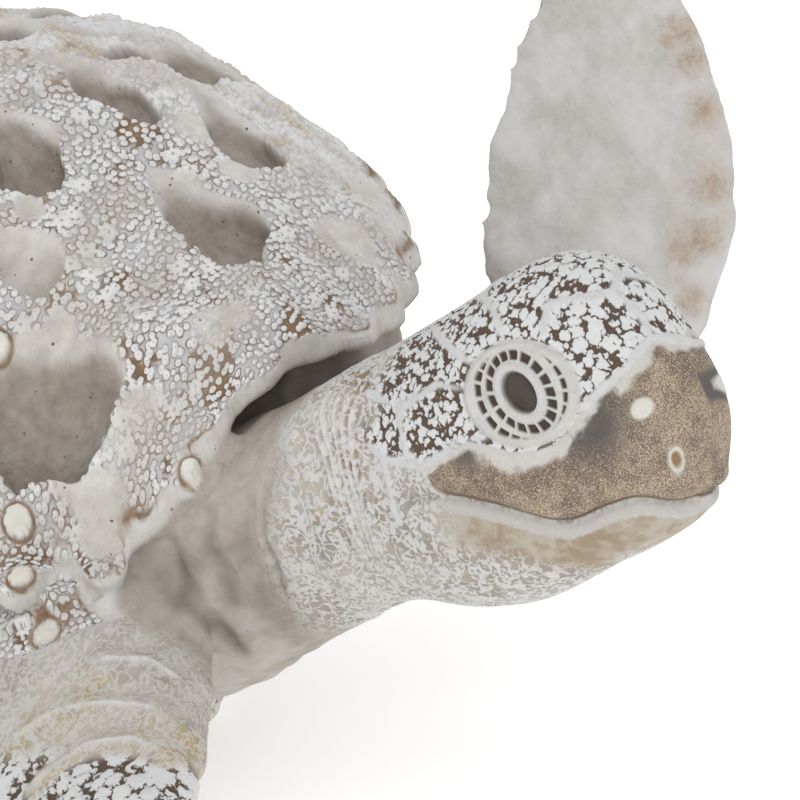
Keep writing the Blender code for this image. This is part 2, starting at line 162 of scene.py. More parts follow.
BODY_AT = Vector((38.3, 16.7, 110.0))
BODY_PITCH = math.radians(6.0)
BODY_ROLL = math.radians(-24.0)
HEAD_FROM_BODY = Vector((0.0, -170.0, 5.0))
HEAD_PITCH = math.radians(-4.5)
HEAD_ROLL = math.radians(5.4)
# from the snout back, in the head's own directions: y, z of the widest line, lean in degrees, half width, rise,
# drop, and how square the top and the bottom are
HEAD_SECTIONS = [
    (-29.5, -7.0, 0, 3.0, 3.0, 6.0, 2.2, 2.2),
    (-28.5, -7.0, 0, 7.5, 6.5, 12.0, 2.3, 2.3),
    (-26.0, -7.0, 0, 10.5, 10.5, 16.0, 2.3, 2.3),
    (-22.5, -7.5, 0, 13.2, 16.5, 18.5, 2.2, 2.3),
    (-16.0, -9.0, 0, 15.8, 24.5, 21.5, 2.2, 2.3),
    (-10.0, -9.5, 0, 17.6, 29.5, 24.5, 2.2, 2.2),
    (-4.0, -9.5, 1, 19.6, 32.0, 29.0, 2.2, 2.1),
    (5.0, -10.0, 3, 21.6, 32.5, 35.0, 2.2, 2.1),
    (16.0, -12.0, 7, 22.6, 31.0, 37.5, 2.2, 2.1),
    (30.0, -17.0, 14, 22.4, 29.5, 36.0, 2.1, 2.1),
    (46.0, -24.0, 20, 22.8, 29.0, 44.0, 2.1, 2.1),
    (62.0, -32.0, 22, 25.5, 28.3, 52.0, 2.1, 2.1),
    (85.0, -45.0, 18, 31.0, 26.0, 45.0, 2.2, 2.1),
    (110.0, -52.0, 8, 34.0, 20.0, 28.0, 2.2, 2.1),
]


def turned(pitch, roll):
    """Nods the head end down by the pitch and tips the left side down by the roll."""
    return Matrix.Rotation(pitch, 4, "X") @ Matrix.Rotation(roll, 4, "Y")


BODY = Matrix.Translation(BODY_AT) @ turned(BODY_PITCH, BODY_ROLL)
HEAD_TURN = turned(HEAD_PITCH, HEAD_ROLL)
HEAD = Matrix.Translation(BODY_AT + HEAD_TURN @ HEAD_FROM_BODY) @ HEAD_TURN
UPRIGHT = Matrix.Translation(BODY_AT)


def eased(stations, count):
    """The rows of stations, read at count even steps along a smooth curve through them."""
    rows = np.array(stations, float)
    slope = np.gradient(rows, axis=0)
    place = np.linspace(0, len(rows) - 1, count)
    low = np.minimum(place.astype(int), len(rows) - 2)
    t = (place - low)[:, None]
    return ((2 * t**3 - 3 * t**2 + 1) * rows[low] + (t**3 - 2 * t**2 + t) * slope[low]
            + (3 * t**2 - 2 * t**3) * rows[low + 1] + (t**3 - t**2) * slope[low + 1])


def loft(shape, rings, frame):
    """Bridges a skin over rings of points and gathers each end into one point."""
    loops = []
    for ring in rings:
        made = bmesh.ops.create_circle(shape, segments=len(ring), radius=1)["verts"]
        for vert, place in zip(made, ring):
            vert.co = frame @ Vector(place)
        loops.append(list(dict.fromkeys(edge for vert in made for edge in vert.link_edges)))
    for near, far in zip(loops, loops[1:]):
        bmesh.ops.bridge_loops(shape, edges=near + far)
    for loop in (loops[0], loops[-1]):
        ring = bmesh.ops.extrude_edge_only(shape, edges=loop)["geom"]
        tip = [part for part in ring if isinstance(part, bmesh.types.BMVert)]
        bmesh.ops.pointmerge(shape, verts=tip, merge_co=sum((v.co for v in tip), Vector()) / len(tip))


def section_ring(y, z, lean, half_width, rise, drop, top, bottom, count):
    """An egg-shaped outline across the neck or the trunk, leaning about the sideways axis."""
    turn = np.linspace(0, 2 * math.pi, count, endpoint=False)
    upper = np.sin(turn) >= 0
    power = np.where(upper, 2 / top, 2 / bottom)
    x = half_width * np.sign(np.cos(turn)) * np.abs(np.cos(turn)) ** power
    h = np.where(upper, rise, drop) * np.sign(np.sin(turn)) * np.abs(np.sin(turn)) ** power
    lean = math.radians(lean)
    return np.stack([x, y - h * math.sin(lean), z + h * math.cos(lean)], -1)


clay = bmesh.new()
loft(clay, [section_ring(*row, 40) for row in eased(HEAD_SECTIONS, 60)], HEAD)

# Trunk: the belly and the tail under the shell, of the same cast resin. It is lofted from cross sections from
# the chest back, and its top ends inside the shell.

# y, z of the widest line, half width, rise and drop, in the body's own directions
TRUNK_SECTIONS = [
    (-98, -30, 20, 8, 14),
    (-86, -26, 44, 15, 27),
    (-56, -18, 65, 18, 31),
    (0, -8, 74, 16, 32),
    (50, -8, 58, 16, 28),
    (85, -6, 30, 12, 18),
    (98, -9, 14, 7, 10),
    (112, -14, 8, 5, 6),
    (122, -18, 3, 2.5, 2.5),
]
loft(clay, [section_ring(y, z, 0, wide, rise, drop, 2.4, 2.6, 36)
            for y, z, wide, rise, drop in eased(TRUNK_SECTIONS, 30)], BODY)

# Shell: a low dome of the same cast resin, with a scalloped edge that arches up over the neck and droops at the
# sides, and with the ends of coral branches under its right front edge.

SHELL_HALF_LENGTH = 104.0
SHELL_HALF_WIDTH = 87.0
SHELL_HEIGHT = 50.0
SHELL_EDGE = 5.0
SHELL_SHOULDER = 0.10
NAPE_ARCH = 24.0
NAPE_ARCH_WIDTH = 34.0
NAPE_ARCH_X = -9.0
SIDE_DROOP = 18.0
RIGHT_DROOP = 7.0
RIGHT_DROOP_X = (-48.0, -72.0)
RIGHT_DROOP_Y = (20.0, -40.0)
RIM_LOBES = 40
RIM_LOBE = 1.0
# x, y, z in the body's own directions and radius
BRANCH_ENDS = [(-61, -77, -1, 5.5), (-57, -84, -10, 5), (-29, -98, 10, 4), (-68, -66, -9, 6), (-49, -90, -1, 4.5)]


def fade(start, end, value):
    """0 up to start, 1 from end on, and smooth between them."""
    t = np.clip((value - start) / (end - start), 0, 1)
    return t * t * (3 - 2 * t)


def bump(value, width):
    """1 at 0, and fading smoothly to both sides over the width."""
    return np.exp(-(value / width) ** 2)


def rim_height(x, y):
    """How far the shell's edge stands off its plane: up over the neck, down at the sides, most at the right front."""
    front = np.clip(-y / SHELL_HALF_LENGTH, 0, 1) ** 2
    side = (x / SHELL_HALF_WIDTH) ** 2
    arch = NAPE_ARCH * bump(x - NAPE_ARCH_X, NAPE_ARCH_WIDTH) * front
    return arch - SIDE_DROOP * side - RIGHT_DROOP * fade(*RIGHT_DROOP_X, x) * fade(*RIGHT_DROOP_Y, y)


def shell_reach(x, y):
    """0 in the middle of the shell and 1 on its edge, in plan."""
    forward = -y / SHELL_HALF_LENGTH
    return np.hypot(forward, x / SHELL_HALF_WIDTH / (1 + SHELL_SHOULDER * forward))


shell_turn = np.linspace(0, 2 * math.pi, 240, endpoint=False)
shell_lobe = RIM_LOBE / SHELL_HALF_WIDTH * (np.abs(np.sin(shell_turn * RIM_LOBES / 2)) * 2 - 1.2)
shell_rings = []
for reach in np.sin(np.linspace(0.04, 1, 22) * math.pi / 2):
    swing = reach * (1 + shell_lobe * reach**10)
    x = SHELL_HALF_WIDTH * np.sin(shell_turn) * (1 + SHELL_SHOULDER * np.cos(shell_turn)) * swing
    y = -SHELL_HALF_LENGTH * np.cos(shell_turn) * swing
    z = rim_height(x, y) * reach**2 + SHELL_HEIGHT * (1 - reach**2.2) ** 0.8
    shell_rings.append(np.stack([x, y, z], -1))
shell_rings.append(shell_rings[-1] - np.array([0, 0, SHELL_EDGE]))
shell_rings.append(shell_rings[-1] * np.array([0.8, 0.8, 1]) - np.array([0, 0, 4]))
loft(clay, shell_rings, BODY)
for x, y, z, radius in BRANCH_ENDS:
    bmesh.ops.create_uvsphere(clay, u_segments=20, v_segments=12, radius=radius,
                              matrix=BODY @ Matrix.Translation((x, y, z)))

# Flippers: resin paddles cast in one with the trunk, thick at the leading edge and thin at the trailing one. The
# left front one is raised, the right front one reaches down and out, and the back pair trails.

# from the root out: middle x, y, z, half chord, half thickness, and the way the upper face looks
LEFT_FLIPPER = [
    (22, -72, -20, 16, 16, -0.2, 0.1, 1.0),
    (42, -90, -25, 16, 14, -0.4, 0.1, 0.9),
    (58, -107, -22, 18, 11, -0.65, -0.1, 0.7),
    (69, -117, -7, 23, 8.5, -0.8, -0.35, 0.4),
    (76, -119, 15, 27.5, 7, -0.87, -0.45, 0.2),
    (80, -117, 32, 27, 5.5, -0.87, -0.45, 0.2),
    (83, -114, 49, 22.5, 4.5, -0.87, -0.45, 0.2),
    (85, -114, 66, 15, 3.5, -0.87, -0.45, 0.2),
    (86, -115, 80, 4, 2, -0.87, -0.45, 0.2),
]
RIGHT_FLIPPER = [
    (-34, -73, -42, 24, 15, 0.0, 0.0, 1.0),
    (-52, -89, -52, 25, 13, -0.3, 0.0, 1.0),
    (-69, -105, -61, 26, 11, -0.5, 0.2, 0.9),
    (-87, -118, -66, 26, 10, -0.6, 0.2, 0.8),
    (-107, -124, -73, 26, 8, -0.5, 0.1, 0.9),
    (-126, -122, -80, 26, 6, -0.4, 0.1, 0.9),
    (-145, -114, -85, 22, 5, -0.4, 0.1, 0.9),
    (-160, -102, -88, 14, 4, -0.4, 0.1, 0.9),
    (-169, -94, -90, 4, 2.5, -0.4, 0.1, 0.9),
]
BACK_FLIPPER = [
    (20, 68, -20, 16, 14, 0, 0, 1),
    (32, 84, -20, 17, 11, 0, 0, 1),
    (44, 100, -18, 20, 8, 0, 0, 1),
    (54, 118, -16, 22, 6, 0, 0, 1),
    (62, 136, -16, 19, 4.5, 0, 0, 1),
    (68, 152, -17, 11, 3.5, 0, 0, 1),
    (72, 162, -18, 3, 2, 0, 0, 1),
]


def loft_flipper(shape, stations, frame, side=1):
    """A paddle along its stations, with the thicker edge forward; side -1 mirrors it."""
    rows = eased(stations, 40) * np.array([side, 1, 1, 1, 1, side, 1, 1])
    along = np.gradient(rows[:, :3], axis=0)
    along /= np.linalg.norm(along, axis=1, keepdims=True)
    lead = np.cross(rows[:, 5:8], along)
    lead *= -np.sign(lead[13, 1]) / np.linalg.norm(lead, axis=1, keepdims=True)
    face = np.cross(along, lead)
    turn = np.linspace(0, 2 * math.pi, 32, endpoint=False)
    thick = np.sin(turn) * (0.8 + 0.35 * np.cos(turn))
    loft(shape, [row[:3] + np.outer(row[3] * np.cos(turn), l) + np.outer(row[4] * thick, f)
                 for row, l, f in zip(rows, lead, face)], frame)


loft_flipper(clay, LEFT_FLIPPER, UPRIGHT)
loft_flipper(clay, RIGHT_FLIPPER, UPRIGHT)
loft_flipper(clay, BACK_FLIPPER, BODY)
loft_flipper(clay, BACK_FLIPPER, BODY, side=-1)

# Base: a low round rock with a mound that carries the belly. It is cast in one with the turtle and flat
# underneath, so that the statue stands without any fixing.

# from below the floor up: z, half width, half depth, and the middle's x and y
BASE_SECTIONS = [
    (-5, 71, 65, 0, 0),
    (9, 74, 68, 0, 0),
    (17, 70, 64, 1, 0),
    (22, 58, 53, 2, 0),
    (34, 43, 40, 3, 0),
    (50, 34, 34, 4, 0),
    (66, 34, 34, 6, 0),
    (90, 30, 30, 6, 0),
]
BASE_FROM_BODY = (-6.0, 14.0)
base_middle = Vector((BODY_AT.x + BASE_FROM_BODY[0], BODY_AT.y + BASE_FROM_BODY[1], 0))
base_turn = np.linspace(0, 2 * math.pi, 72, endpoint=False)
loft(clay, [np.stack([wide * np.cos(base_turn) + x, deep * np.sin(base_turn) + y, np.full(72, z)], -1)
            for z, wide, deep, x, y in eased(BASE_SECTIONS, 30)], Matrix.Translation(base_middle))

# One casting: polyester resin poured in one mould, so the forms run together and the creases between them are
# eased. The pieces below are cut from it for the triangle limits alone, each finely divided where it is looked at
# most and tucked under its neighbours.

FUSE_SIZE = 1.5


def points_of(mesh):
    """The places of a mesh's points, one row each."""
    flat = np.empty(len(mesh.vertices) * 3)
    mesh.vertices.foreach_get("co", flat)
    return flat.reshape(-1, 3)


def normals_of(mesh):
    """The way the surface faces at each of a mesh's points."""
    flat = np.empty(len(mesh.vertices) * 3)
    mesh.vertex_normals.foreach_get("vector", flat)
    return flat.reshape(-1, 3)


def place_points(mesh, points):
    """Moves a mesh's points to these places."""
    mesh.vertices.foreach_set("co", points.ravel())
    mesh.update()


def inside(frame, points):
    """Points in a frame's own directions, from its middle."""
    return (points - np.array(frame.translation)) @ np.array(frame.to_3x3())


def on_shell(points):
    """1 on the shell and its edge, 0 on the skin below."""
    at = inside(BODY, points)
    x, y = at[:, 0], at[:, 1]
    reach = shell_reach(x, y)
    return fade(1.12, 1.06, reach) * fade(-8, -5, at[:, 2] - rim_height(x, y) * np.minimum(reach, 1) ** 2)


def relaxed(mesh, rounds, keep):
    """Eases the creases where the shapes meet; keep holds points back from 0, free, to 1, fixed."""
    ends = np.empty(len(mesh.edges) * 2, np.int32)
    mesh.edges.foreach_get("vertices", ends)
    start, end = ends.reshape(-1, 2).T
    points = points_of(mesh)
    count = len(points)
    near = np.bincount(ends, minlength=count)
    for step in range(rounds * 2):
        pull = (0.6 if step % 2 == 0 else -0.5) * (1 - keep)
        for axis in range(3):
            value = points[:, axis]
            total = np.bincount(start, value[end], count) + np.bincount(end, value[start], count)
            points[:, axis] = value + pull * (total / near - value)
    place_points(mesh, points)


def with_modifier(mesh, name, kind, **settings):
    """The mesh after one modifier, worked out on a passing object."""
    blank = bpy.data.objects.new(name, mesh)
    bpy.context.scene.collection.objects.link(blank)
    modifier = blank.modifiers.new(name, kind)
    for setting, value in settings.items():
        setattr(modifier, setting, value)
    made = bpy.data.meshes.new_from_object(blank.evaluated_get(bpy.context.evaluated_depsgraph_get()))
    bpy.data.objects.remove(blank)
    return made


bmesh.ops.recalc_face_normals(clay, faces=clay.faces)
clay_mesh = bpy.data.meshes.new("clay")
clay.to_mesh(clay_mesh)
clay.free()
casting = with_modifier(clay_mesh, "fuse", "REMESH", mode="VOXEL", voxel_size=FUSE_SIZE)
relaxed(casting, 2, np.zeros(len(casting.vertices)))
relaxed(casting, 16, on_shell(points_of(casting)))
casting.attributes.new("tuck", "FLOAT", "POINT")

face_middle = np.empty(len(casting.polygons) * 3)
casting.polygons.foreach_get("center", face_middle)
face_middle = face_middle.reshape(-1, 3)
face_corners = np.empty(len(casting.loops), np.int32)
casting.loops.foreach_get("vertex_index", face_corners)
face_corners = face_corners.reshape(-1, 4)
at_head = inside(HEAD, face_middle)
at_body = inside(BODY, face_middle)
at_upright = face_middle - np.array(BODY_AT)
from_base = np.hypot(*(face_middle[:, :2] - np.array(base_middle)[:2]).T)
is_shell = on_shell(face_middle) > 0.5
left_to_dress = np.ones(len(face_middle), bool)


def cut_out(name, wanted, levels):
    """Takes the wanted faces that are left, with two rows of margin, and divides them."""
    wanted = wanted & left_to_dress
    left_to_dress[wanted] = False
    row = np.full(len(casting.vertices), 3.0)
    kept = wanted
    for step in range(3):
        row[face_corners[kept][row[face_corners[kept]] > step]] = step
        if step < 2:
            kept = (row[face_corners] <= step).any(1)
    casting.attributes["tuck"].data.foreach_set("value", row)
    shape = bmesh.new()
    shape.from_mesh(casting)
    bmesh.ops.delete(shape, geom=[f for f, keep in zip(shape.faces, kept) if not keep], context="FACES")
    mesh = bpy.data.meshes.new(name + "_cut")
    shape.to_mesh(mesh)
    shape.free()
    return with_modifier(mesh, name, "SUBSURF", levels=levels, render_levels=levels) if levels else mesh


def keep(mesh, name, values):
    """Stores a number or a place for each point of a mesh, for its paint to read."""
    is_place = values.ndim == 2
    attribute = mesh.attributes.new(name, "FLOAT_VECTOR" if is_place else "FLOAT", "POINT")
    attribute.data.foreach_set("vector" if is_place else "value", values.astype(np.float32).ravel())


def read(mesh, name):
    """The number stored under this name for each point."""
    values = np.empty(len(mesh.vertices), np.float32)
    mesh.attributes[name].data.foreach_get("value", values)
    return values.astype(float)


def relief_of(mesh, pattern):
    """How high a painted pattern stands at each point, worked out by the same nodes that paint it."""
    tree = bpy.data.node_groups.new(pattern.__name__, "GeometryNodeTree")
    tree.interface.new_socket("Geometry", in_out="INPUT", socket_type="NodeSocketGeometry")
    tree.interface.new_socket("Geometry", in_out="OUTPUT", socket_type="NodeSocketGeometry")
    places = [add(tree, "GeometryNodeInputNamedAttribute", {0: word}, data_type="FLOAT_VECTOR")
              for word in ("rest", "spread")]
    stored = add(tree, "GeometryNodeStoreNamedAttribute",
                 {0: add(tree, "NodeGroupInput"), 2: "height", 3: pattern(tree, *places)},
                 data_type="FLOAT", domain="POINT")
    add(tree, "NodeGroupOutput", {0: stored}, None)
    made = with_modifier(mesh, "pattern", "NODES", node_group=tree)
    values = read(made, "height")
    bpy.data.meshes.remove(made)
    return values


def lumps(points, size, seed, waves=14):
    """Smooth random swells about as wide as size, between about -1 and 1."""
    random = np.random.default_rng(seed)
    way = random.normal(size=(waves, 3))
    way *= (random.uniform(0.7, 1.4, waves) * math.pi / size / np.linalg.norm(way, axis=1))[:, None]
    phase = random.uniform(0, 2 * math.pi, waves)
    return np.sin(points @ way.T + phase).sum(1) / math.sqrt(waves)


# how far a piece's margin sinks under the next piece, and how much deeper its end is closed
TUCK_STEP = 0.05
TUCK_END = 0.75
END_DEPTH = 1.5


def finish_piece(name, mesh, points, relief, triangles, materials):
    """Raises the relief, sinks the margin under the next piece, closes the ends, and makes it an object."""
    tuck = read(mesh, "tuck")
    sunk = TUCK_STEP * np.minimum(tuck, 1) + TUCK_END * np.maximum(tuck - 1, 0)
    place_points(mesh, points + normals_of(mesh) * (relief - sunk)[:, None])
    mesh.attributes.remove(mesh.attributes["tuck"])
    mesh.calc_loop_triangles()
    whole = len(mesh.loop_triangles)
    if whole > triangles:
        mesh = with_modifier(mesh, name, "DECIMATE", ratio=triangles / whole, use_collapse_triangulate=True)
    shape = bmesh.new()
    shape.from_mesh(mesh)
    shape.normal_update()
    edges = [edge for edge in shape.edges if edge.is_boundary]
    for part in bmesh.ops.extrude_edge_only(shape, edges=edges)["geom"]:
        if isinstance(part, bmesh.types.BMVert):
            part.co -= part.normal * END_DEPTH
    ends = bmesh.ops.holes_fill(shape, edges=[edge for edge in shape.edges if edge.is_boundary], sides=0)["faces"]
    bmesh.ops.triangulate(shape, faces=ends, ngon_method="EAR_CLIP")
    shape.to_mesh(mesh)
    shape.free()
    place_points(mesh, points_of(mesh) * MM)
    mesh.polygons.foreach_set("use_smooth", [True] * len(mesh.polygons))
    for material in materials:
        mesh.materials.append(material)
    piece = bpy.data.objects.new(name, mesh)
    bpy.context.scene.collection.objects.link(piece)
    return piece


# Shell skin: the resin has taken every pore of a master grown over with dead coral, rows of flat-topped nubs on
# branching ribs between smooth leaf-shaped hollows. Brown stain was rubbed into the gaps and whitewash dragged
# over the tops.

# in plan: middle x and y, half length, half width, heading and depth
HOLLOWS = [
    (14.5, -71, 16, 8, -8, 7.5),
    (41, -54, 14, 6.5, -20, 5.5),
    (-42, -66, 24, 10.5, 40, 12),
    (3, -33, 14, 7, -25, 7),
    (28, -31, 16, 5, 0, 5),
    (-36, -91, 12, 5, 72, 2.5),
    (-18, -54, 9, 6, 10, 2),
]
# the rest of the shell carries two rings of them: turns from the front, place from the middle, length and width
OUTER_HOLLOWS = ((68, 98, 128, 158, -172, -142, -112, -82), 0.66, 16, 7.5)
INNER_HOLLOWS = ((95, 140, -170, -120, -68), 0.34, 14, 7)
HOLLOW_LIP = 0.6
# the hollows open gently towards the back left, and drop sharply on the other side
GENTLE_WAY = (0.77, 0.64)
# bare dished patches and patches where the brown stain was left on, as x, y and radius in plan, and broad cut
# stalks as x, y, z and radius
BARE_PATCHES = [(-43.4, -86.5, 6.5), (38.3, -84.6, 7), (62, -70, 7), (31.3, -63.9, 4), (-8, -46, 4), (-25, -68, 4)]
STAINS = [(-36, -76, 5), (-33, -83, 5), (6.5, -98.5, 4), (19, -97.5, 3), (-58, -80, 9), (26, -16, 5), (22, -45, 4),
          (55, -46, 5), (9, -93, 4), (2, -32, 5), (-46, -93, 7), (-24, -88, 7), (-30, -94, 5), (-14, -98, 5),
          (-50, -84, 6), (-30, 30, 8), (30, 60, 9), (-60, -20, 7)]
STALKS = [(-61.2, -79.8, 3.2, 2.2), (-64, -84.9, -8, 2.7), (-54.2, -73.7, 8.9, 2.7), (-29, -100.5, 12.6, 2.0),
          (-34, -57, 34.2, 2.8), (9.3, -97.9, 23.8, 1.3)]
# coral ribs in plan: x and y of both ends, half width and height
RIBS = [
    (4, -102, 34, -65, 9, 2.0),
    (34, -65, 44, -18, 9, 1.5),
    (2, -98, -26, -80, 8, 2.5),
    (-26, -80, -58, -74, 7, 3.0),
    (-28, -100, -58, -80, 5, 2.5),
    (0, -92, -4, -52, 10, 1.5),
    (-4, -52, 14, 8, 10, 1.5),
]
NUB_SPACING = 2.1
NUB_STIR = 2.222
NUB_HEIGHT = 0.6
FLOWER_SPACING = 7.0
FLOWER_PETALS = 7
PINHOLE_SPACING = 3.4
# the brush's blotches, its finer drift, and the resin's grain, drawn coarser than it is so that it shows, all in mm
CORAL_BLOTCH = 11.111
CORAL_DRIFT = 3.03
CORAL_GRAIN = 0.4
# how far the coral swells at random, in mm, for each width of swell
CORAL_SWELLS = ((1.3, 20, 3), (0.95, 9, 5), (0.4, 4.5, 6))
# the dome's profile laid flat: reach from its middle, and the way along the surface to there
PROFILE_REACH = np.sin(np.linspace(0, 1, 80) * math.pi / 2)
profile_drop = SHELL_HEIGHT * (1 - PROFILE_REACH**2.2) ** 0.8 - 10 * PROFILE_REACH**2
profile_along = np.cumsum(np.hypot(np.diff(PROFILE_REACH * 95, prepend=0), np.diff(profile_drop, prepend=SHELL_HEIGHT)))


def to_segment(x, y, ax, ay, bx, by):
    """Distance in the plane from points to the line between two ends."""
    along = np.clip(((x - ax) * (bx - ax) + (y - ay) * (by - ay)) / ((bx - ax) ** 2 + (by - ay) ** 2), 0, 1)
    return np.hypot(x - ax - along * (bx - ax), y - ay - along * (by - ay))


def all_hollows():
    """The hollows that the photo shows and the two rings of them over the rest of the shell."""
    found = list(HOLLOWS)
    for turns, reach, length, width in (OUTER_HOLLOWS, INNER_HOLLOWS):
        for heading in turns:
            x = reach * SHELL_HALF_WIDTH * math.sin(math.radians(heading))
            y = -reach * SHELL_HALF_LENGTH * math.cos(math.radians(heading))
            found.append((x, y, length, width, heading, width))
    return found


def hollow_depth(x, y):
    """Depth of the leaf-shaped hollows below the dome, with a raised lip round each, and 1 where one is smooth."""
    depth = np.zeros_like(x)
    smooth = np.zeros_like(x)
    for at_x, at_y, length, width, heading, deep in all_hollows():
        heading = math.radians(heading)
        along = (x - at_x) * math.sin(heading) - (y - at_y) * math.cos(heading)
        across = (x - at_x) * math.cos(heading) + (y - at_y) * math.sin(heading)
        edge = np.hypot(along / length, across / (width * (1 + 0.3 * np.clip(along / length, -1, 1))))
        away = np.hypot(x - at_x, y - at_y) + 0.1
        way = (x - at_x) * GENTLE_WAY[0] + (y - at_y) * GENTLE_WAY[1]
        gentle = fade(-0.2, 0.7, way / away)
        slope = 1 - 0.55 * fade(-0.4 * width, 1.1 * width, way)
        depth = np.maximum(depth, deep * slope * (1 - fade(0.78 - 0.5 * gentle, 1.0 + 0.12 * gentle, edge)))
        depth -= HOLLOW_LIP * bump(edge - 1.12, 0.1) * (depth < 0.2) * (1 - gentle)
        smooth = np.maximum(smooth, 1 - fade(0.9 + 0.15 * gentle, 0.98 + 0.25 * gentle, edge))
    return depth, smooth


def rib_height(x, y):
    """How far the branching ribs stand over the dome, in plan."""
    height = np.zeros_like(x)
    for ax, ay, bx, by, width, high in RIBS:
        height = np.maximum(height, high * bump(to_segment(x, y, ax, ay, bx, by), width * 0.7))
    return height


def shell_carving(points, normals):
    """How far the coral rises along the shell's own upright, where it is smooth or a hollow, and where shade is painted
    in the hollows and under the rim.
    """
    at = inside(BODY, points)
    facing = normals @ np.array(BODY.to_3x3())
    up = facing[:, 2]
    x, y = at[:, 0], at[:, 1]
    reach = shell_reach(x, y)
    over_rim = at[:, 2] - rim_height(x, y) * np.minimum(reach, 1.0) ** 2
    top = fade(0.05, 0.35, up) * (reach < 1.03) * (over_rim > -2)
    dome = 1 - fade(0.86, 0.98, reach)
    depth, hollow = hollow_depth(x + 1.2 * lumps(at, 9, 21), y + 1.2 * lumps(at, 9, 22))
    patch = np.max([bump(np.hypot(x - px, y - py), r) for px, py, r in BARE_PATCHES], axis=0)
    stain = np.max([bump(np.hypot(x - px, y - py), r) for px, py, r in STAINS], axis=0)
    rise = (rib_height(x, y) - depth - 1.2 * patch) * dome
    rise += sum(high * lumps(at, wide, seed) for high, wide, seed in CORAL_SWELLS)
    wall = np.maximum(fade(1.0, -0.5, over_rim), fade(0.5, 0.35, up)) * fade(0.9, 0.96, reach)
    bare = np.maximum(fade(0.35, 0.6, patch + 0.12 * lumps(at, 6, 7)), 0.85 * fade(0.9, 1.5, lumps(at, 11, 8)))
    stalk = np.zeros_like(x)
    groove = bump(wall - 0.4, 0.3) * fade(-0.3, 0.4, lumps(at, 8, 9)) * (up > 0)
    for sx, sy, sz, radius in STALKS:
        off = at - np.array((sx, sy, sz))
        straight = (off * facing).sum(1)
        away = (np.linalg.norm(off - straight[:, None] * facing, axis=1) + 9 * (np.abs(straight) > 5)) / radius
        stalk = np.maximum(stalk, 1 - fade(0.85, 1.1, away))
        groove = np.maximum(groove, bump(away - 1.25, 0.2))
        rise += (0.8 - 0.4 * fade(0.8, 0.0, away)) * (1 - fade(0.8, 1.15, away)) - 0.5 * bump(away - 1.3, 0.2)
    smooth = np.maximum.reduce([hollow * dome * (depth > -0.3), wall, fade(0.1, -0.2, up), bare, stalk, groove])
    # the hollows' smooth greige resin is painted darker from 0.3 to 4 mm deep: painted shade in the hollows
    return rise * top, {"smooth": smooth, "hollow": hollow * dome * fade(0.3, 4.0, depth), "stalk": stalk,
                        "stain": stain * (1 - smooth), "groove": groove * (1 - stalk),
                        "thick": np.maximum(fade(5, 60, x + 0.3 * (y + 60)) * fade(-120, -60, y),
                                            0.7 * fade(-50, 0, y)),
                        # a band 2 to 14 mm below the rim's edge, painted darker: painted shade under the shell's rim,
                        # on the coral and the skin alike
                        "under": fade(-2, -4.5, over_rim) * fade(-14, -9, over_rim) * fade(1.2, 1.1, reach)}


def laid_flat(points):
    """Each point's place on the shell laid flat from its crown, so that nubs keep their size down its sides."""
    at = inside(BODY, points)
    reach = shell_reach(at[:, 0], at[:, 1])
    stretch = np.interp(reach, PROFILE_REACH, profile_along) / (95 * np.clip(reach, 0.02, 1))
    return np.stack([at[:, 0] * stretch, at[:, 1] * stretch, 0 * reach], -1)


def into_nub(tree, spread):
    """0 in the middle of a coral nub or flower, 1 at its edge and more in the gap."""
    stir = add(tree, "ShaderNodeTexNoise", {0: spread, 2: 1 / NUB_STIR, 3: 3.0}, 1)
    shift = add(tree, "ShaderNodeVectorMath", {0: stir, 1: (0.5, 0.5, 0.5)}, operation="SUBTRACT")
    moved = add(tree, "ShaderNodeVectorMath", {0: shift, 1: (1.1, 1.1, 0.0), 2: spread}, operation="MULTIPLY_ADD")
    nub = add(tree, "ShaderNodeTexVoronoi", {0: moved, 2: 1 / NUB_SPACING, "Randomness": 0.75}, None,
              voronoi_dimensions="2D")
    flower = add(tree, "ShaderNodeTexVoronoi", {0: moved, 2: 1 / FLOWER_SPACING}, None, voronoi_dimensions="2D")
    wide = add(tree, "ShaderNodeMapRange", {0: nub.outputs["Color"], 3: 0.30, 4: 0.50})
    from_nub = add(tree, "ShaderNodeMath", {0: nub.outputs["Distance"], 1: wide}, operation="DIVIDE")
    arm = add(tree, "ShaderNodeVectorMath", {0: moved, 1: flower.outputs["Position"]}, operation="SUBTRACT")
    arm_x, arm_y = add(tree, "ShaderNodeSeparateXYZ", {0: arm}, None).outputs[:2]
    turn = add(tree, "ShaderNodeMath", {0: arm_y, 1: arm_x}, operation="ARCTAN2")
    petals = add(tree, "ShaderNodeMath", {0: turn, 1: float(FLOWER_PETALS)}, operation="MULTIPLY")
    wave = add(tree, "ShaderNodeMath", {0: petals}, operation="COSINE")
    edge = add(tree, "ShaderNodeMath", {0: wave, 1: 0.05, 2: 0.30}, operation="MULTIPLY_ADD")
    from_flower = add(tree, "ShaderNodeMath", {0: flower.outputs["Distance"], 1: edge}, operation="DIVIDE")
    grown = add(tree, "ShaderNodeMapRange", {0: flower.outputs["Color"], 1: 0.58, 2: 0.60, 3: 9.0, 4: 0.0})
    only_some = add(tree, "ShaderNodeMath", {0: from_flower, 1: grown}, operation="ADD")
    return add(tree, "ShaderNodeMath", {0: from_nub, 1: only_some}, operation="MINIMUM")


def coral_nubs(tree, place, spread):
    """1 on the top of a nub or a flower, 0 in the gaps between them."""
    within = into_nub(tree, spread)
    return add(tree, "ShaderNodeMapRange", {0: within, 1: 1.15, 2: 0.55}, interpolation_type="SMOOTHSTEP")


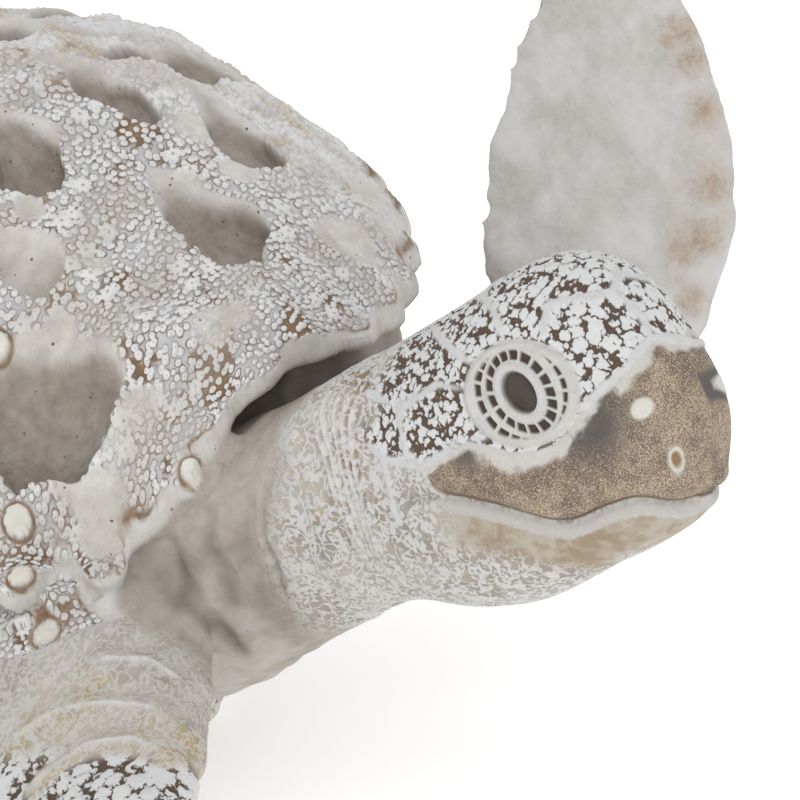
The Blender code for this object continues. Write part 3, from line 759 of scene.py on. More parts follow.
def coats(tree, mottle, layers):
    """Paint laid on in coats, each by its own amount: of one colour, or from dark to pale with the mottle."""
    colour = None
    for amount, *shades in layers:
        tone = shades[0]
        if len(shades) == 2:
            tone = add(tree, "ShaderNodeMix", {0: mottle, 6: paint(shades[0]), 7: paint(shades[1])}, 2,
                       data_type="RGBA")
        elif isinstance(tone, str):
            tone = paint(tone)
        if colour is not None:
            tone = add(tree, "ShaderNodeMix", {0: amount, 6: colour, 7: tone}, 2, data_type="RGBA")
        colour = tone
    return colour


def whitewashed_coral(name):
    """Cast polyester resin, stained brown and drybrushed: chalky tops ringed by the stain left in the gaps."""
    material = bpy.data.materials.new(name)
    material.use_nodes = True
    tree = material.node_tree
    shader = tree.nodes["Principled BSDF"]
    place, spread = (add(tree, "ShaderNodeAttribute", output=1, attribute_name=word) for word in ("rest", "spread"))
    stain, thick, smooth, hollow, groove, stalk, under = (
        add(tree, "ShaderNodeAttribute", output=2, attribute_name=word)
        for word in ("stain", "thick", "smooth", "hollow", "groove", "stalk", "under"))
    within = into_nub(tree, spread)
    broad = add(tree, "ShaderNodeTexNoise", {0: place, 2: 1 / CORAL_BLOTCH, 3: 6.0, 4: 0.65})
    drift = add(tree, "ShaderNodeTexNoise", {0: place, 2: 1 / CORAL_DRIFT, 3: 4.0})
    grain = add(tree, "ShaderNodeTexNoise", {0: place, 2: 1 / CORAL_GRAIN, 3: 4.0})
    pin = add(tree, "ShaderNodeTexVoronoi", {0: place, 2: 1 / PINHOLE_SPACING})
    dark = add(tree, "ShaderNodeMath", {0: stain, 1: 0.18, 2: broad}, operation="MULTIPLY_ADD")
    laid_on = add(tree, "ShaderNodeMath", {0: thick, 1: drift}, operation="MULTIPLY")
    stained, warm, ring_in, ring_out, nub, height, dot, rusty, cloudy, open_pin = (
        add(tree, "ShaderNodeMapRange", {0: source, 1: start, 2: end, 4: most}, interpolation_type="SMOOTHSTEP")
        for source, start, end, most in (
            (dark, 0.58, 0.66, 1), (dark, 0.47, 0.56, 1), (within, 0.85, 1.05, 1), (within, 1.55, 1.15, 1),
            (within, 1.05, 0.85, 1), (within, 1.15, 0.55, 1), (within, 0.26, 0.14, 0.65), (broad, 0.50, 0.62, 0.75),
            (laid_on, 0.15, 0.50, 0.85), (pin, 0.11, 0.07, 1)))
    ring = add(tree, "ShaderNodeMath", {0: ring_in, 1: ring_out}, operation="MULTIPLY")
    shown = add(tree, "ShaderNodeMapRange", {0: drift, 1: 0.40, 2: 0.58, 3: 0.25, 4: 1.0})
    drawn = add(tree, "ShaderNodeMath", {0: ring, 1: shown}, operation="MULTIPLY")
    in_bare = add(tree, "ShaderNodeMath", {0: open_pin, 1: smooth}, operation="MULTIPLY")
    ring_colour = coats(tree, drift, [(1, "55525a", "938d88"), (warm, "46342a", "86674b")])
    heavy_wash = coats(tree, drift, [(1, "cbcbcc", "e2e2e1"), (rusty, "b29a80", "cfc0ae")])
    colour = coats(tree, drift, [
        (1, "abaaae", "d0cfcd"), (stained, "4c382b", "a08261"), (drawn, ring_colour), (nub, "cfd0d1", "e5e5e2"),
        # the hollow coat is painted shade, darkening the hollows' greige resin with depth
        (dot, "8d8378"), (cloudy, heavy_wash), (smooth, "b4aea7", "dddcda"), (hollow, "766d65", "aca49c"),
        # the last coat is painted shade under the shell's rim
        (groove, "4a372b", "a5835c"), (in_bare, "6b5a4a"), (stalk, "c9c4ba", "e2e0da"), (under, "958d84", "bab3ab")])
    tree.links.new(colour, shader.inputs["Base Color"])
    raised = add(tree, "ShaderNodeMath", {0: height, 1: 0.8, 2: grain}, operation="MULTIPLY_ADD")
    relief = add(tree, "ShaderNodeBump", {0: 0.35, 1: 0.0005, 3: raised})
    tree.links.new(relief, shader.inputs["Normal"])
    shader.inputs["Roughness"].default_value = 0.75
    return material


# Head and neck skin: the same cast resin. Raised smooth seams part the horny plates, pebbled with flakes of
# whitewash over dark brown stain. The beak is sanded bare, each eye is a domed ring of cut cells, and the neck
# hangs in soft folds.

# seams in the head's own directions: distance from the middle, y and z, the same on both sides
SEAMS = [
    [(18.9, 35.2, -6.0), (21.7, 26.9, -6.2), (21.7, 24.0, -5.4), (21.4, 16.8, -0.6), (22.3, 9.3, 0.1)],
    [(21.8, 25.6, -6.0), (22.4, 24.6, -9.9), (22.7, 23.1, -14.2), (23.0, 19.3, -16.7)],
    [(23.0, 19.3, -16.7), (23.0, 15.5, -13.7), (22.8, 10.4, -9.9), (22.6, 4.4, -8.5)],
    [(23.0, 19.3, -16.7), (22.9, 17.7, -19.1), (21.8, 14.5, -23.3)],
    [(22.2, 32.4, -14.7), (22.3, 28.8, -16.3), (23.0, 19.3, -16.7)],
    [(22.3, 28.8, -16.3), (21.7, 26.9, -24.5), (20.8, 26.0, -28.8)],
    [(11.6, 25.4, 6.8), (18.7, 16.3, 6.3), (20.6, 10.1, 4.5)],
    [(0.0, 17.0, 16.5), (11.7, 14.0, 14.4), (15.3, 8.4, 13.7), (18.9, 4.3, 10.1)],
    [(12.6, -4.3, 16.9), (13.8, -2.5, 16.0), (16.7, -3.7, 11.0)],
    [(11.4, -18.4, 6.3), (14.1, -15.9, 3.1), (16.1, -12.8, -0.6)],
]
# seams over the crown, from right to left
CROWN_SEAMS = [
    [(-12.6, -4.3, 16.9), (-9.0, -9.3, 17.8), (-5.7, -10.9, 18.2), (-1.6, -9.4, 20.4), (-0.2, -6.8, 22.4)],
    [(-0.2, -6.8, 22.4), (0.0, 6.0, 22.5), (0.0, 17.0, 16.5)],
    [(-5.3, -12.0, 17.5), (-4.8, -16.5, 14.0), (-5.7, -19.2, 11.2)],
    [(-11.4, -18.4, 6.3), (-5.7, -19.2, 11.2), (-2.9, -20.7, 10.7), (3.2, -22.4, 8.8), (8.0, -21.0, 8.0),
     (11.4, -18.4, 6.3)],
    [(-1.6, -9.4, 20.4), (5.0, -10.9, 18.2), (12.6, -4.3, 16.9)],
]
SEAM_HALF_WIDTH = 0.8
SEAM_HEIGHT = 0.6
# the mouth as y, z pairs, and the beak's upper edge as z over y
MOUTH = [(24, -24), (15, -21.4), (4, -21.6), (-8, -23.4), (-16, -19.5), (-22, -17), (-27, -18), (-30, -17)]
BEAK_TOP_Y = [-18.4, -15.9, -12.8, -10.5, -8.0, -5.0, 0.0, 4.7, 8.8, 11.0, 16.0, 19.0]
BEAK_TOP_Z = [6.3, 3.1, -0.6, -5.0, -8.0, -9.5, -10.5, -9.9, -9.8, -11.0, -14.4, -17.0]
# over the snout the same edge is z over the distance from the middle
SNOUT_TOP_X = [0.0, 5.7, 11.4, 13.5]
SNOUT_TOP_Z = [9.6, 11.2, 6.3, 3.5]
EYE_MIDDLE = (-1.1, 0.75)
EYE_RING_MIDDLE = (-0.6, 0.25)
EYE_FLAT = 0.86
EYE_RING = 10.0
PUPIL = (4.2, 2.8)
PUPIL_TURN = math.radians(47)
# rings of cells: distance from the pupil's middle, how flat the ring is, half width and how many
CELL_RINGS = [(7.2, 1.42, 1.15, 17), (9.45, 1.2, 0.95, 23)]
CELL_DEPTH = 0.5
# nostrils as y, z, half width and half height, the left one further forward and flatter; and the drip's x and z
NOSTRIL = (-22.2, -0.1, 1.75, 2.0)
NOSTRIL_HEIGHT = 0.7
LEFT_NOSTRIL = (-25.4, 0.8)
LEFT_NOSTRIL_HEIGHT = 0.2
DRIP = (-8.5, -9.3, 0.9, 1.8)
DRIP_DEPTH = 0.5
# the mouth's cut, and the swells of the lip over it and the jaw under it: height, distance from it and half width
MOUTH_CUT = (-1.0, 0.0, 0.7)
UPPER_LIP = (0.5, 2.5, 1.3)
JAW_EDGE = (0.45, 2.0, 1.0)
# flakes on the forehead and finer ones behind the eyes, and the worm tracks on the throat
FLAKE_SPACING = 2.6
FINE_FLAKE_SPACING = 1.2
FLAKE_STIR = 1.111
FLAKE_WEAR = 2.222
FLAKE_HEIGHT = 0.35
TRACK_SPACING = 1.818
TRACK_HEIGHT = 0.25
# the brush's blotches, its finer drift, and the sanded resin's grain, drawn coarser than it is so that it shows,
# all in mm
SKIN_BLOTCH = 14.286
SKIN_DRIFT = 2.857
SKIN_GRAIN = 0.25
HEAD_ROUND = 21.0
# the first and the last of the strands fanned down each side of the neck, as y and z from top to bottom
STRANDS = [
    [(47.3, -11.4), (42.8, -17.7), (39.7, -24.9), (38.0, -31.8), (36.7, -36.6)],
    [(37.6, -11.4), (36.3, -17.7), (34.3, -24.9), (33.4, -31.8), (33.5, -36.6)],
]
STRAND_HEIGHT = 0.8
# folds down the neck's sides: half width, depth against the deepest, which also sets how dark their shade is painted,
# and y and z pairs
NECK_FOLDS = [
    (0.8, 0.5, [(56.0, -24.0), (57.9, -31.5), (58.6, -37.7), (57.3, -43.4), (57.7, -50.2)]),
    (2.4, 0.7, [(69.0, -22.0), (71.0, -33.2), (71.5, -41.8), (68.5, -46.1), (69.1, -53.6)]),
    (1.6, 1.0, [(78.9, -41.2), (76.0, -51.6), (72.8, -61.2), (73.0, -66.8)]),
    (3.0, 0.4, [(62.0, -20.0), (64.0, -36.0), (62.0, -58.0)]),
]
FOLD_DEPTH = 1.5
# brown knobs along the left flipper's leading edge in the body's own x, y, z, and how wide each is in mm
EDGE_KNOBS = [(104.6, -129.9, 15.7, 4), (96.1, -135.8, 3.7, 4), (88.8, -138, -4.6, 4), (84.5, -135.3, -5.7, 4),
              (79.8, -139.4, -14.5, 4), (108.7, -124.3, 24.2, 4), (111.1, -121.6, 29.6, 4),
              (108, -119.8, 28.5, 2)]
KNOB_HEIGHT = 1.0
# crests of the right shoulder's folds in the body's own plan
SHOULDER_FOLDS = [
    [(-64.0, -102.6), (-59.1, -109.6), (-59.8, -115.9)],
    [(-83.3, -94.8), (-77.1, -101.3), (-71.6, -110.7), (-69.1, -119.5), (-69.2, -127.2)],
    [(-90.8, -108.7), (-81.1, -114.4), (-76.6, -123.0), (-76.4, -130.7)],
]


def to_line(x, y, corners):
    """Distance in the plane from points to a line of corners."""
    ends = zip(corners, corners[1:])
    return np.min([to_segment(x, y, *a, *b) for a, b in ends], axis=0)


def to_seam(points, corners):
    """Distance in space from points to a line of corners."""
    away = np.full(len(points), 1e3)
    for a, b in zip(np.array(corners), np.array(corners[1:])):
        along = np.clip((points - a) @ (b - a) / ((b - a) @ (b - a)), 0, 1)
        away = np.minimum(away, np.linalg.norm(points - a - along[:, None] * (b - a), axis=1))
    return away


def eye_relief(y, z):
    """How the eye is raised and sunk, and 1 in its dark cells and pupil."""
    ring = np.hypot(y - EYE_RING_MIDDLE[0], (z - EYE_RING_MIDDLE[1]) / EYE_FLAT)
    y = y - EYE_MIDDLE[0]
    z = z - EYE_MIDDLE[1]
    along = y * math.cos(PUPIL_TURN) + z * math.sin(PUPIL_TURN)
    across = -y * math.sin(PUPIL_TURN) + z * math.cos(PUPIL_TURN)
    turn = np.arctan2(1.4 * across, along)
    cells = np.zeros_like(y)
    for number, (place, flat, half, count) in enumerate(CELL_RINGS):
        step = np.mod(turn / (2 * math.pi) * count + 0.5 * number + 0.12 * np.sin(3 * turn + number), 1)
        row = np.hypot(along, flat * across)
        cells = np.maximum(cells, (1 - fade(0.30, 0.43, np.abs(step - 0.5)))
                           * (1 - fade(0.6, 1.0, np.abs(row - place) / half)))
    cells *= 1 - fade(EYE_RING - 1.2, EYE_RING - 0.6, ring)
    pupil = 1 - fade(0.9, 1.03, np.hypot(along / PUPIL[0], across / PUPIL[1]))
    rim = bump(np.hypot(along, 1.48 * across) - 5.2, 0.8)
    rise = 1.2 * (1 - fade(7, 11.5, ring)) + 0.8 * bump(ring - EYE_RING, 0.9) - 0.5 * bump(ring - 7.6, 1.8)
    return rise + 0.5 * rim - CELL_DEPTH * cells - 1.3 * pupil, cells, pupil


def carve_head(at, facing, near):
    """Eyes, seams, nostrils, drip and mouth, and where the head is painted its own way."""
    side, y, z = np.abs(at[:, 0]), at[:, 1], at[:, 2]
    left = at[:, 0] > 0
    eye, cells, pupil = eye_relief(y, z)
    from_eye = np.hypot(y - EYE_RING_MIDDLE[0], (z - EYE_RING_MIDDLE[1]) / EYE_FLAT)
    in_eye = fade(0.35, 0.6, np.abs(facing[:, 0])) * near * (1 - fade(10.9, 11.6, from_eye))
    rise = eye * in_eye
    away = np.full(len(at), 1e3)
    here = near > 0
    mirrored = np.stack([side, y, z], -1)
    away[here] = np.min([to_seam(mirrored[here], seam) for seam in SEAMS]
                        + [to_seam(at[here], seam) for seam in CROWN_SEAMS], axis=0)
    seam = (1 - fade(0.6, 1.5, (away + 0.22 * lumps(at, 3, 31)) / SEAM_HALF_WIDTH)) * (1 - in_eye)
    rise += SEAM_HEIGHT * seam
    nostril_y, nostril_z = (np.where(left, *place) for place in zip(LEFT_NOSTRIL, NOSTRIL))
    from_nostril = np.hypot((y - nostril_y) / NOSTRIL[2], (z - nostril_z) / NOSTRIL[3])
    nostril = fade(1.15, 0.75, from_nostril) * near * (side > 3)
    rise += np.where(left, LEFT_NOSTRIL_HEIGHT, NOSTRIL_HEIGHT) * nostril
    mouth_line = eased(MOUTH, 60)
    lip = to_line(y, z, mouth_line[::3])
    below = np.interp(y, *mouth_line[::-1].T) - z
    front = near * fade(1.5, 3, side)
    for (high, place, wide), away, where in ((MOUTH_CUT, lip, 1), (UPPER_LIP, lip, below < 0), (JAW_EDGE, below, 1)):
        rise += high * bump(away - place, wide) * where * front
    drip = np.hypot((at[:, 0] - DRIP[0] + 0.15 * (z - DRIP[1])) / DRIP[2], (z - DRIP[1]) / DRIP[3])
    drip = np.where(y < -20, drip, 9.0)
    rise -= DRIP_DEPTH * (1 - fade(0.7, 1.1, drip))
    beak_top = np.where(y < -17.5, np.interp(side, SNOUT_TOP_X, SNOUT_TOP_Z), np.interp(y, BEAK_TOP_Y, BEAK_TOP_Z))
    beak_end = np.interp(z, [-23.5, -16.5], [14.4, 18.8])
    beak = fade(0.3, -0.3, z - beak_top) * fade(0.3, -0.3, below) * fade(0.4, -0.4, y - beak_end)
    plate_foot = np.interp(y, [-22, 14, 18.8, 28.8, 33], [-60, -30, -16.5, -16.3, -14.7])
    plate = fade(-0.3, 0.3, z - np.maximum(beak_top, np.where(y > 18.8, plate_foot, -60)))
    plate *= fade(36, 31, y + 1.5 * lumps(at, 3, 37))
    feather = fade(6.5, 0.5, beak_top - z) * fade(-19, -13, y) * fade(12, 5, y)
    jaw = fade(2.4, 3.6, below) * fade(20, 10, y) * fade(14, 7, below + 1.2 * lumps(at, 6, 38))
    # two grey smudges on the beak, and a dark ring round the left nostril that is painted shade of its recess
    smudges_and_shade = (bump(np.hypot(y + 13.5, z + 3.5), 7), 0.8 * bump(np.hypot(y - 10, z + 12), 4),
               bump(from_nostril - 1.2, 0.6) * left)
    return rise, {"beak": beak * near, "plate": plate * near * (1 - beak), "jaw": jaw * near, "seam": seam,
                  "cells": cells * in_eye, "pupil": pupil * in_eye, "eye": in_eye, "nostril": nostril,
                  "lip": fade(0.1, 0.6, below) * fade(3.4, 2.4, below) * near * fade(22, 12, y),
                  "edge": bump(below + 0.5, 0.55) * near * fade(18, 10, y),
                  "smudge_and_shade": np.maximum.reduce(smudges_and_shade) * near,
                  "feather": np.maximum(feather, bump(z - beak_top, 2)) * near,
                  "drip": 1 - fade(0.55, 0.8, drip), "drip_edge": bump(drip - 1.15, 0.3)}


def carve_neck(at, near):
    """The strands fanned down the neck's sides and its folds, where its paint is thin, fine or yellow, and the shade
    painted in its folds and beside the shell.
    """
    side, y, z = np.abs(at[:, 0]), at[:, 1], at[:, 2]
    on_neck = fade(34, 44, y) * (1 - fade(96, 110, y)) * fade(34, 27, side) * fade(6, 14, side)
    first, last = (np.interp(z, *np.array(line)[::-1, ::-1].T) for line in STRANDS)
    fan = (y - last) / (first - last)
    in_fan = fade(-0.35, -0.1, fan) * fade(1.3, 1.1, fan) * fade(-44, -36, z) * fade(-4, -12, z) * fade(6, 14, side)
    in_fan *= side < 34
    strand = bump(np.mod(fan * 3.5 + 0.2 * lumps(at, 12, 33) + 0.5, 1) - 0.5, 0.22) * in_fan
    # the folds are cut in and painted darker in the same measure: painted shade in the creases
    fold_and_shade = np.max([bump(to_line(y, z, line), wide) * deep for wide, deep, line in NECK_FOLDS], axis=0) * on_neck
    gathered = np.stack([at[:, 0] / 5, y, z / 3.5], -1)
    rise = STRAND_HEIGHT * (strand + bump(fan - 1, 0.3) * in_fan) - FOLD_DEPTH * fold_and_shade
    rise += 0.35 * lumps(gathered, 4.5, 34) * on_neck * (1 - strand)
    # a band of the neck just under the shell's rim, painted darker: painted shadow of the shell
    shadow_by_shell = 0.75 * fade(62, 76, y + 0.15 * z) * fade(-68, -50, z) * fade(40, 34, side) * fade(2, 10, side)
    fleck = fade(54, 36, y + 3 * lumps(at, 6, 39)) * fade(-38, -16, z) * fade(28, 32, y)
    return rise, {"strand": strand, "fold_and_shade": np.maximum(fold_and_shade, shadow_by_shell), "fleck": fleck * (side < 34) * (z > -64),
                  "tracked": fade(70, 48, y) * fade(-92, -60, z) * near
                             + fade(38, 42, y) * fade(64, 50, y) * (side < 34),
                  "ochre": 0.9 * bump(np.hypot(y - 45, z + 21), 12)}


def carve_limbs(body, near):
    """The right shoulder's folds and the left flipper's knobs, and where the limbs are flaked, soft or brown."""
    shoulder = fade(-52, -60, body[:, 0]) * fade(-88, -96, body[:, 1]) * fade(-34, -24, body[:, 2])
    fold = np.min([to_line(body[:, 0], body[:, 1], line) for line in SHOULDER_FOLDS], axis=0)
    crest = bump(fold, 0.7) * shoulder * fade(-0.9, 0.2, lumps(body, 14, 40))
    past_fold = fade(2.0, 4.5, to_line(body[:, 0], body[:, 1], SHOULDER_FOLDS[-1]))
    paddle = fade(-76, -82, body[:, 0] + 0.35 * (body[:, 1] + 120)) * past_fold * (1 - near)
    left_limb = fade(50, 60, body[:, 0]) * fade(-62, -70, body[:, 1]) * (1 - near)
    limb = fade(-46, -56, body[:, 0]) * (1 - near)
    knob = np.max([bump(np.linalg.norm(body - np.array(spot[:3]), axis=1), spot[3]) for spot in EDGE_KNOBS], axis=0)
    knob = knob * left_limb
    rise = 0.6 * crest + (0.9 * bump(fold, 3.5) - 0.5 * bump(fold - 5.5, 2.5)) * shoulder
    rise += KNOB_HEIGHT * knob + 0.5 * lumps(body, 8, 41) * left_limb
    return rise, {"strand": crest, "scale": paddle, "soft": left_limb, "knob": knob,
                  "tracked": 0.6 * limb + 0.25 * left_limb, "ochre": shoulder * fade(-60, -72, body[:, 0])}


def skin_carving(points, normals):
    """How far the skin rises along the surface, and where each part of it is painted its own way."""
    at = inside(HEAD, points)
    near = fade(42, 38, at[:, 1]) * fade(-64, -58, at[:, 2]) * (np.abs(at[:, 0]) < 34)
    rise = (0.3 * lumps(at, 7, 35) + 0.15 * lumps(at, 3.2, 36)) * (1 - near)
    masks = {}
    for more, painted in (carve_head(at, normals @ np.array(HEAD.to_3x3()), near), carve_neck(at, near),
                          carve_limbs(inside(BODY, points), near)):
        rise += more
        for word, values in painted.items():
            masks[word] = np.maximum(masks.get(word, 0), values)
    return rise, masks


def unrolled(points):
    """Each point's place on the head unrolled round its length, so that flakes keep their size on its crown."""
    at = inside(HEAD, points)
    round_head = np.stack([at[:, 1], HEAD_ROUND * np.arctan2(at[:, 0], at[:, 2] + 5), 0 * at[:, 0]], -1)
    body = inside(BODY, points) * (0.6, 0.6, 0)
    return np.where((body[:, 0] < -28)[:, None], body, round_head)


def paint_flakes(tree, place, spread):
    """1 on the pebbled flakes of the plates, 0 in the ragged gaps between them."""
    stir = add(tree, "ShaderNodeTexNoise", {0: place, 2: 1 / FLAKE_STIR, 3: 3.0}, 1)
    shift = add(tree, "ShaderNodeVectorMath", {0: stir, 1: (0.5, 0.5, 0.5)}, operation="SUBTRACT")
    moved = add(tree, "ShaderNodeVectorMath", {0: shift, 1: (1.6, 1.6, 1.6), 2: spread}, operation="MULTIPLY_ADD")
    worn = add(tree, "ShaderNodeTexNoise", {0: place, 2: 1 / FLAKE_WEAR, 3: 4.0})
    along = add(tree, "ShaderNodeSeparateXYZ", {0: spread}, 0)
    behind = add(tree, "ShaderNodeMapRange", {0: along, 1: -4.0, 2: 10.0, 3: 0.0, 4: 0.16})
    crumbled = add(tree, "ShaderNodeMapRange", {0: worn, 1: 0.62, 2: 0.42, 3: -0.28, 4: 0.02})
    layers = []
    for spacing, least, most, change, way, start, end in (
            (FLAKE_SPACING, 0.36, 0.60, behind, "SUBTRACT", -0.02, 0.05),
            (FINE_FLAKE_SPACING, 0.30, 0.66, crumbled, "ADD", -0.03, 0.10)):
        flake = add(tree, "ShaderNodeTexVoronoi", {0: moved, 2: 1 / spacing}, None, voronoi_dimensions="2D")
        wide = add(tree, "ShaderNodeMapRange", {0: flake.outputs["Color"], 3: least, 4: most})
        room = add(tree, "ShaderNodeMath", {0: wide, 1: change}, operation=way)
        inset = add(tree, "ShaderNodeMath", {0: room, 1: flake.outputs["Distance"]}, operation="SUBTRACT")
        layers.append(add(tree, "ShaderNodeMapRange", {0: inset, 1: start, 2: end}, interpolation_type="SMOOTHSTEP"))
    between = add(tree, "ShaderNodeTexVoronoi", {0: moved, 2: 1 / FLAKE_SPACING}, voronoi_dimensions="2D",
                  feature="DISTANCE_TO_EDGE")
    closed = add(tree, "ShaderNodeMapRange", {0: worn, 1: 0.36, 2: 0.60, 3: -0.03, 4: 0.05})
    gap = add(tree, "ShaderNodeMath", {0: between, 1: closed}, operation="SUBTRACT")
    parted = add(tree, "ShaderNodeMapRange", {0: gap, 1: -0.01, 2: 0.035}, interpolation_type="SMOOTHSTEP")
    big = add(tree, "ShaderNodeMath", {0: layers[0], 1: parted}, operation="MULTIPLY")
    return add(tree, "ShaderNodeMath", {0: big, 1: layers[1]}, operation="MAXIMUM")


def worm_tracks(tree, place, spread):
    """1 on the fine winding threads of whitewash on the throat, 0 beside them."""
    field = add(tree, "ShaderNodeTexNoise", {0: place, 2: 1 / TRACK_SPACING, 3: 2.0, 8: 0.6})
    middle = add(tree, "ShaderNodeMath", {0: field, 1: 0.5}, operation="SUBTRACT")
    away = add(tree, "ShaderNodeMath", {0: middle}, operation="ABSOLUTE")
    return add(tree, "ShaderNodeMapRange", {0: away, 1: 0.105, 2: 0.045}, interpolation_type="SMOOTHSTEP")


def whitewashed_skin(name):
    """Cast polyester resin, stained and drybrushed: white on the high points, brown and ochre left in the low, and
    shade painted into the neck's folds and under the shell.
    """
    material = bpy.data.materials.new(name)
    material.use_nodes = True
    tree = material.node_tree
    shader = tree.nodes["Principled BSDF"]
    place, spread = (add(tree, "ShaderNodeAttribute", output=1, attribute_name=word) for word in ("rest", "spread"))
    on = {word: add(tree, "ShaderNodeAttribute", output=2, attribute_name=word)
          for word in ("tracked", "ochre", "fleck", "soft", "knob", "fold_and_shade", "strand", "under", "scale", "plate",
                       "jaw", "beak", "smudge_and_shade", "feather", "edge", "seam", "lip", "cells", "pupil", "eye", "nostril",
                       "drip_edge", "drip")}
    flakes = paint_flakes(tree, place, spread)
    tracks = worm_tracks(tree, place, spread)
    broad = add(tree, "ShaderNodeTexNoise", {0: place, 2: 1 / SKIN_BLOTCH, 3: 5.0})
    drift = add(tree, "ShaderNodeTexNoise", {0: place, 2: 1 / SKIN_DRIFT, 3: 4.0})
    grain = add(tree, "ShaderNodeTexNoise", {0: place, 2: 1 / SKIN_GRAIN, 3: 3.0})
    drawn = add(tree, "ShaderNodeMath", {0: tracks, 1: on["tracked"]}, operation="MULTIPLY")
    clouds = add(tree, "ShaderNodeMath", {0: broad, 1: drift}, operation="ADD")
    mottle = add(tree, "ShaderNodeMapRange", {0: clouds, 1: 0.86, 2: 1.14})
    yellow, smudged_and_shaded, brushed = (
        add(tree, "ShaderNodeMath", {0: on[word], 1: by, 2: more}, operation="MULTIPLY_ADD")
        for word, by, more in (("ochre", 0.3, drift), ("smudge_and_shade", drift, on["smudge_and_shade"]),
                               ("feather", grain, on["feather"])))
    rough = add(tree, "ShaderNodeMath", {0: drift, 1: 1.6, 2: brushed}, operation="MULTIPLY_ADD")
    smudge_and_shade = add(tree, "ShaderNodeMapRange", {0: smudged_and_shaded, 1: 0.15, 2: 1.2, 4: 0.9})
    ochre, washed, speck, salt, feather = (
        add(tree, "ShaderNodeMapRange", {0: source, 1: start, 2: end, 4: most}, interpolation_type="SMOOTHSTEP")
        for source, start, end, most in (
            (yellow, 0.60, 0.80, 0.8), (broad, 0.42, 0.60, 0.7), (grain, 0.50, 0.60, 1), (grain, 0.46, 0.38, 1),
            (rough, 1.25, 1.95, 0.9)))
    smooth_limb = coats(tree, drift, [(1, "aca69f", "c8c6c3"), (washed, "bcbcbd", "d3d4d5")])
    stained = coats(tree, drift, [(1, "3f3229", "6a5443")])
    pebbled = coats(tree, grain, [(1, stained), (flakes, "c6c7c8", "dddedd")])
    # the dark grey coat paints the beak's smudges and the painted shade round the left nostril
    beak = coats(tree, mottle, [(1, "725f50", "ab977c"), (speck, "6c594b"), (salt, "b7ada0"), (smudge_and_shade, "504c4b"),
                                (feather, "c9c6c1"), (on["edge"], "5d4a3a")])
    jaw = coats(tree, mottle, [(1, "98866d", "b0a799")])
    eye = coats(tree, drift, [(1, "b5b2ad", "d3d2cf"), (on["cells"], "43362c"), (on["pupil"], "2e2825", "5e534b")])
    colour = coats(tree, drift, [
        (1, "898178", "b1a99f"), (ochre, "b09b6e"), (on["fleck"], "4d3b2e", "a98760"), (washed, "aea9a2", "c5c2bd"),
        (on["soft"], smooth_limb), (on["knob"], "8a7460", "bfad98"), (drawn, "c8c7c4"),
        # painted shade in the neck's folds and painted shadow beside the shell, then the white strands, then painted
        # shade under the shell's rim
        (on["fold_and_shade"], "6f675d", "8c847a"), (on["strand"], "d0cfcd"), (on["under"], "958d84", "bab3ab"),
        (on["scale"], pebbled), (on["plate"], pebbled), (on["jaw"], jaw), (on["beak"], beak),
        (on["seam"], "babab9", "d4d5d5"), (on["lip"], "b7b4af"), (on["eye"], eye), (on["nostril"], "d0ccc4"),
        (on["drip_edge"], "d0cbc2"), (on["drip"], "8f7048")])
    tree.links.new(colour, shader.inputs["Base Color"])
    raised = add(tree, "ShaderNodeMath", {0: drawn, 1: 0.5, 2: drift}, operation="MULTIPLY_ADD")
    relief = add(tree, "ShaderNodeBump", {0: 0.4, 1: 0.0006, 3: raised})
    tree.links.new(relief, shader.inputs["Normal"])
    shader.inputs["Roughness"].default_value = 0.7
    return material


coral = whitewashed_coral("whitewashed resin coral")
skin = whitewashed_skin("whitewashed resin skin")


def dress(name, wanted, levels, triangles):
    """Cuts a piece out of the casting, carves it, hangs it on the root body and hides the imported solid."""
    mesh = cut_out(name, wanted, levels)
    points = points_of(mesh)
    normals = normals_of(mesh)
    coral_here = on_shell(points)
    skin_here = 1 - coral_here
    shell_rise, shell_masks = shell_carving(points, normals)
    skin_rise, masks = skin_carving(points, normals)
    upright = np.array(BODY.to_3x3())[:, 2]
    place_points(mesh, points + normals * (skin_rise * skin_here)[:, None] + np.outer(shell_rise, upright))
    points = points_of(mesh)
    keep(mesh, "rest", inside(BODY, points))
    keep(mesh, "spread", np.where(coral_here[:, None] > 0.5, laid_flat(points), unrolled(points)))
    masks.update(shell_masks)
    for word, values in masks.items():
        keep(mesh, word, np.clip(values, 0, 1))
    relief = np.zeros(len(points))
    if coral_here.max() > 0.5:
        relief += NUB_HEIGHT * relief_of(mesh, coral_nubs) * (1 - np.clip(masks["smooth"], 0, 1)) * coral_here
    bare = np.maximum.reduce([masks[word] for word in ("seam", "beak", "jaw", "eye", "lip")])
    flaked = np.clip(masks["plate"] + masks["scale"], 0, 1) * skin_here
    if flaked.max() > 0.5:
        relief += FLAKE_HEIGHT * relief_of(mesh, paint_flakes) * flaked * (1 - bare) * (1 + masks["scale"])
    if skin_here.max() > 0.5:
        tracked = np.clip(masks["tracked"], 0, 1) * skin_here
        relief += TRACK_HEIGHT * relief_of(mesh, worm_tracks) * tracked * (1 - flaked) * (1 - bare)
    corner = np.empty(len(mesh.polygons), np.int32)
    mesh.polygons.foreach_get("loop_start", corner)
    corners = np.empty(len(mesh.loops), np.int32)
    mesh.loops.foreach_get("vertex_index", corners)
    mesh.polygons.foreach_set("material_index", (skin_here[corners[corner]] > 0.5).astype(np.int32))
    piece = finish_piece(name, mesh, points, relief, triangles, (coral, skin))
    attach(piece, "root")
    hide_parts("turtle_statue")


# Eyes and head: cast resin, carved in the master with a ring of cells round each eye and with horny plates. They
# are one with the neck, parted from it here behind the plates, and the eye that faces the photo is the finest.

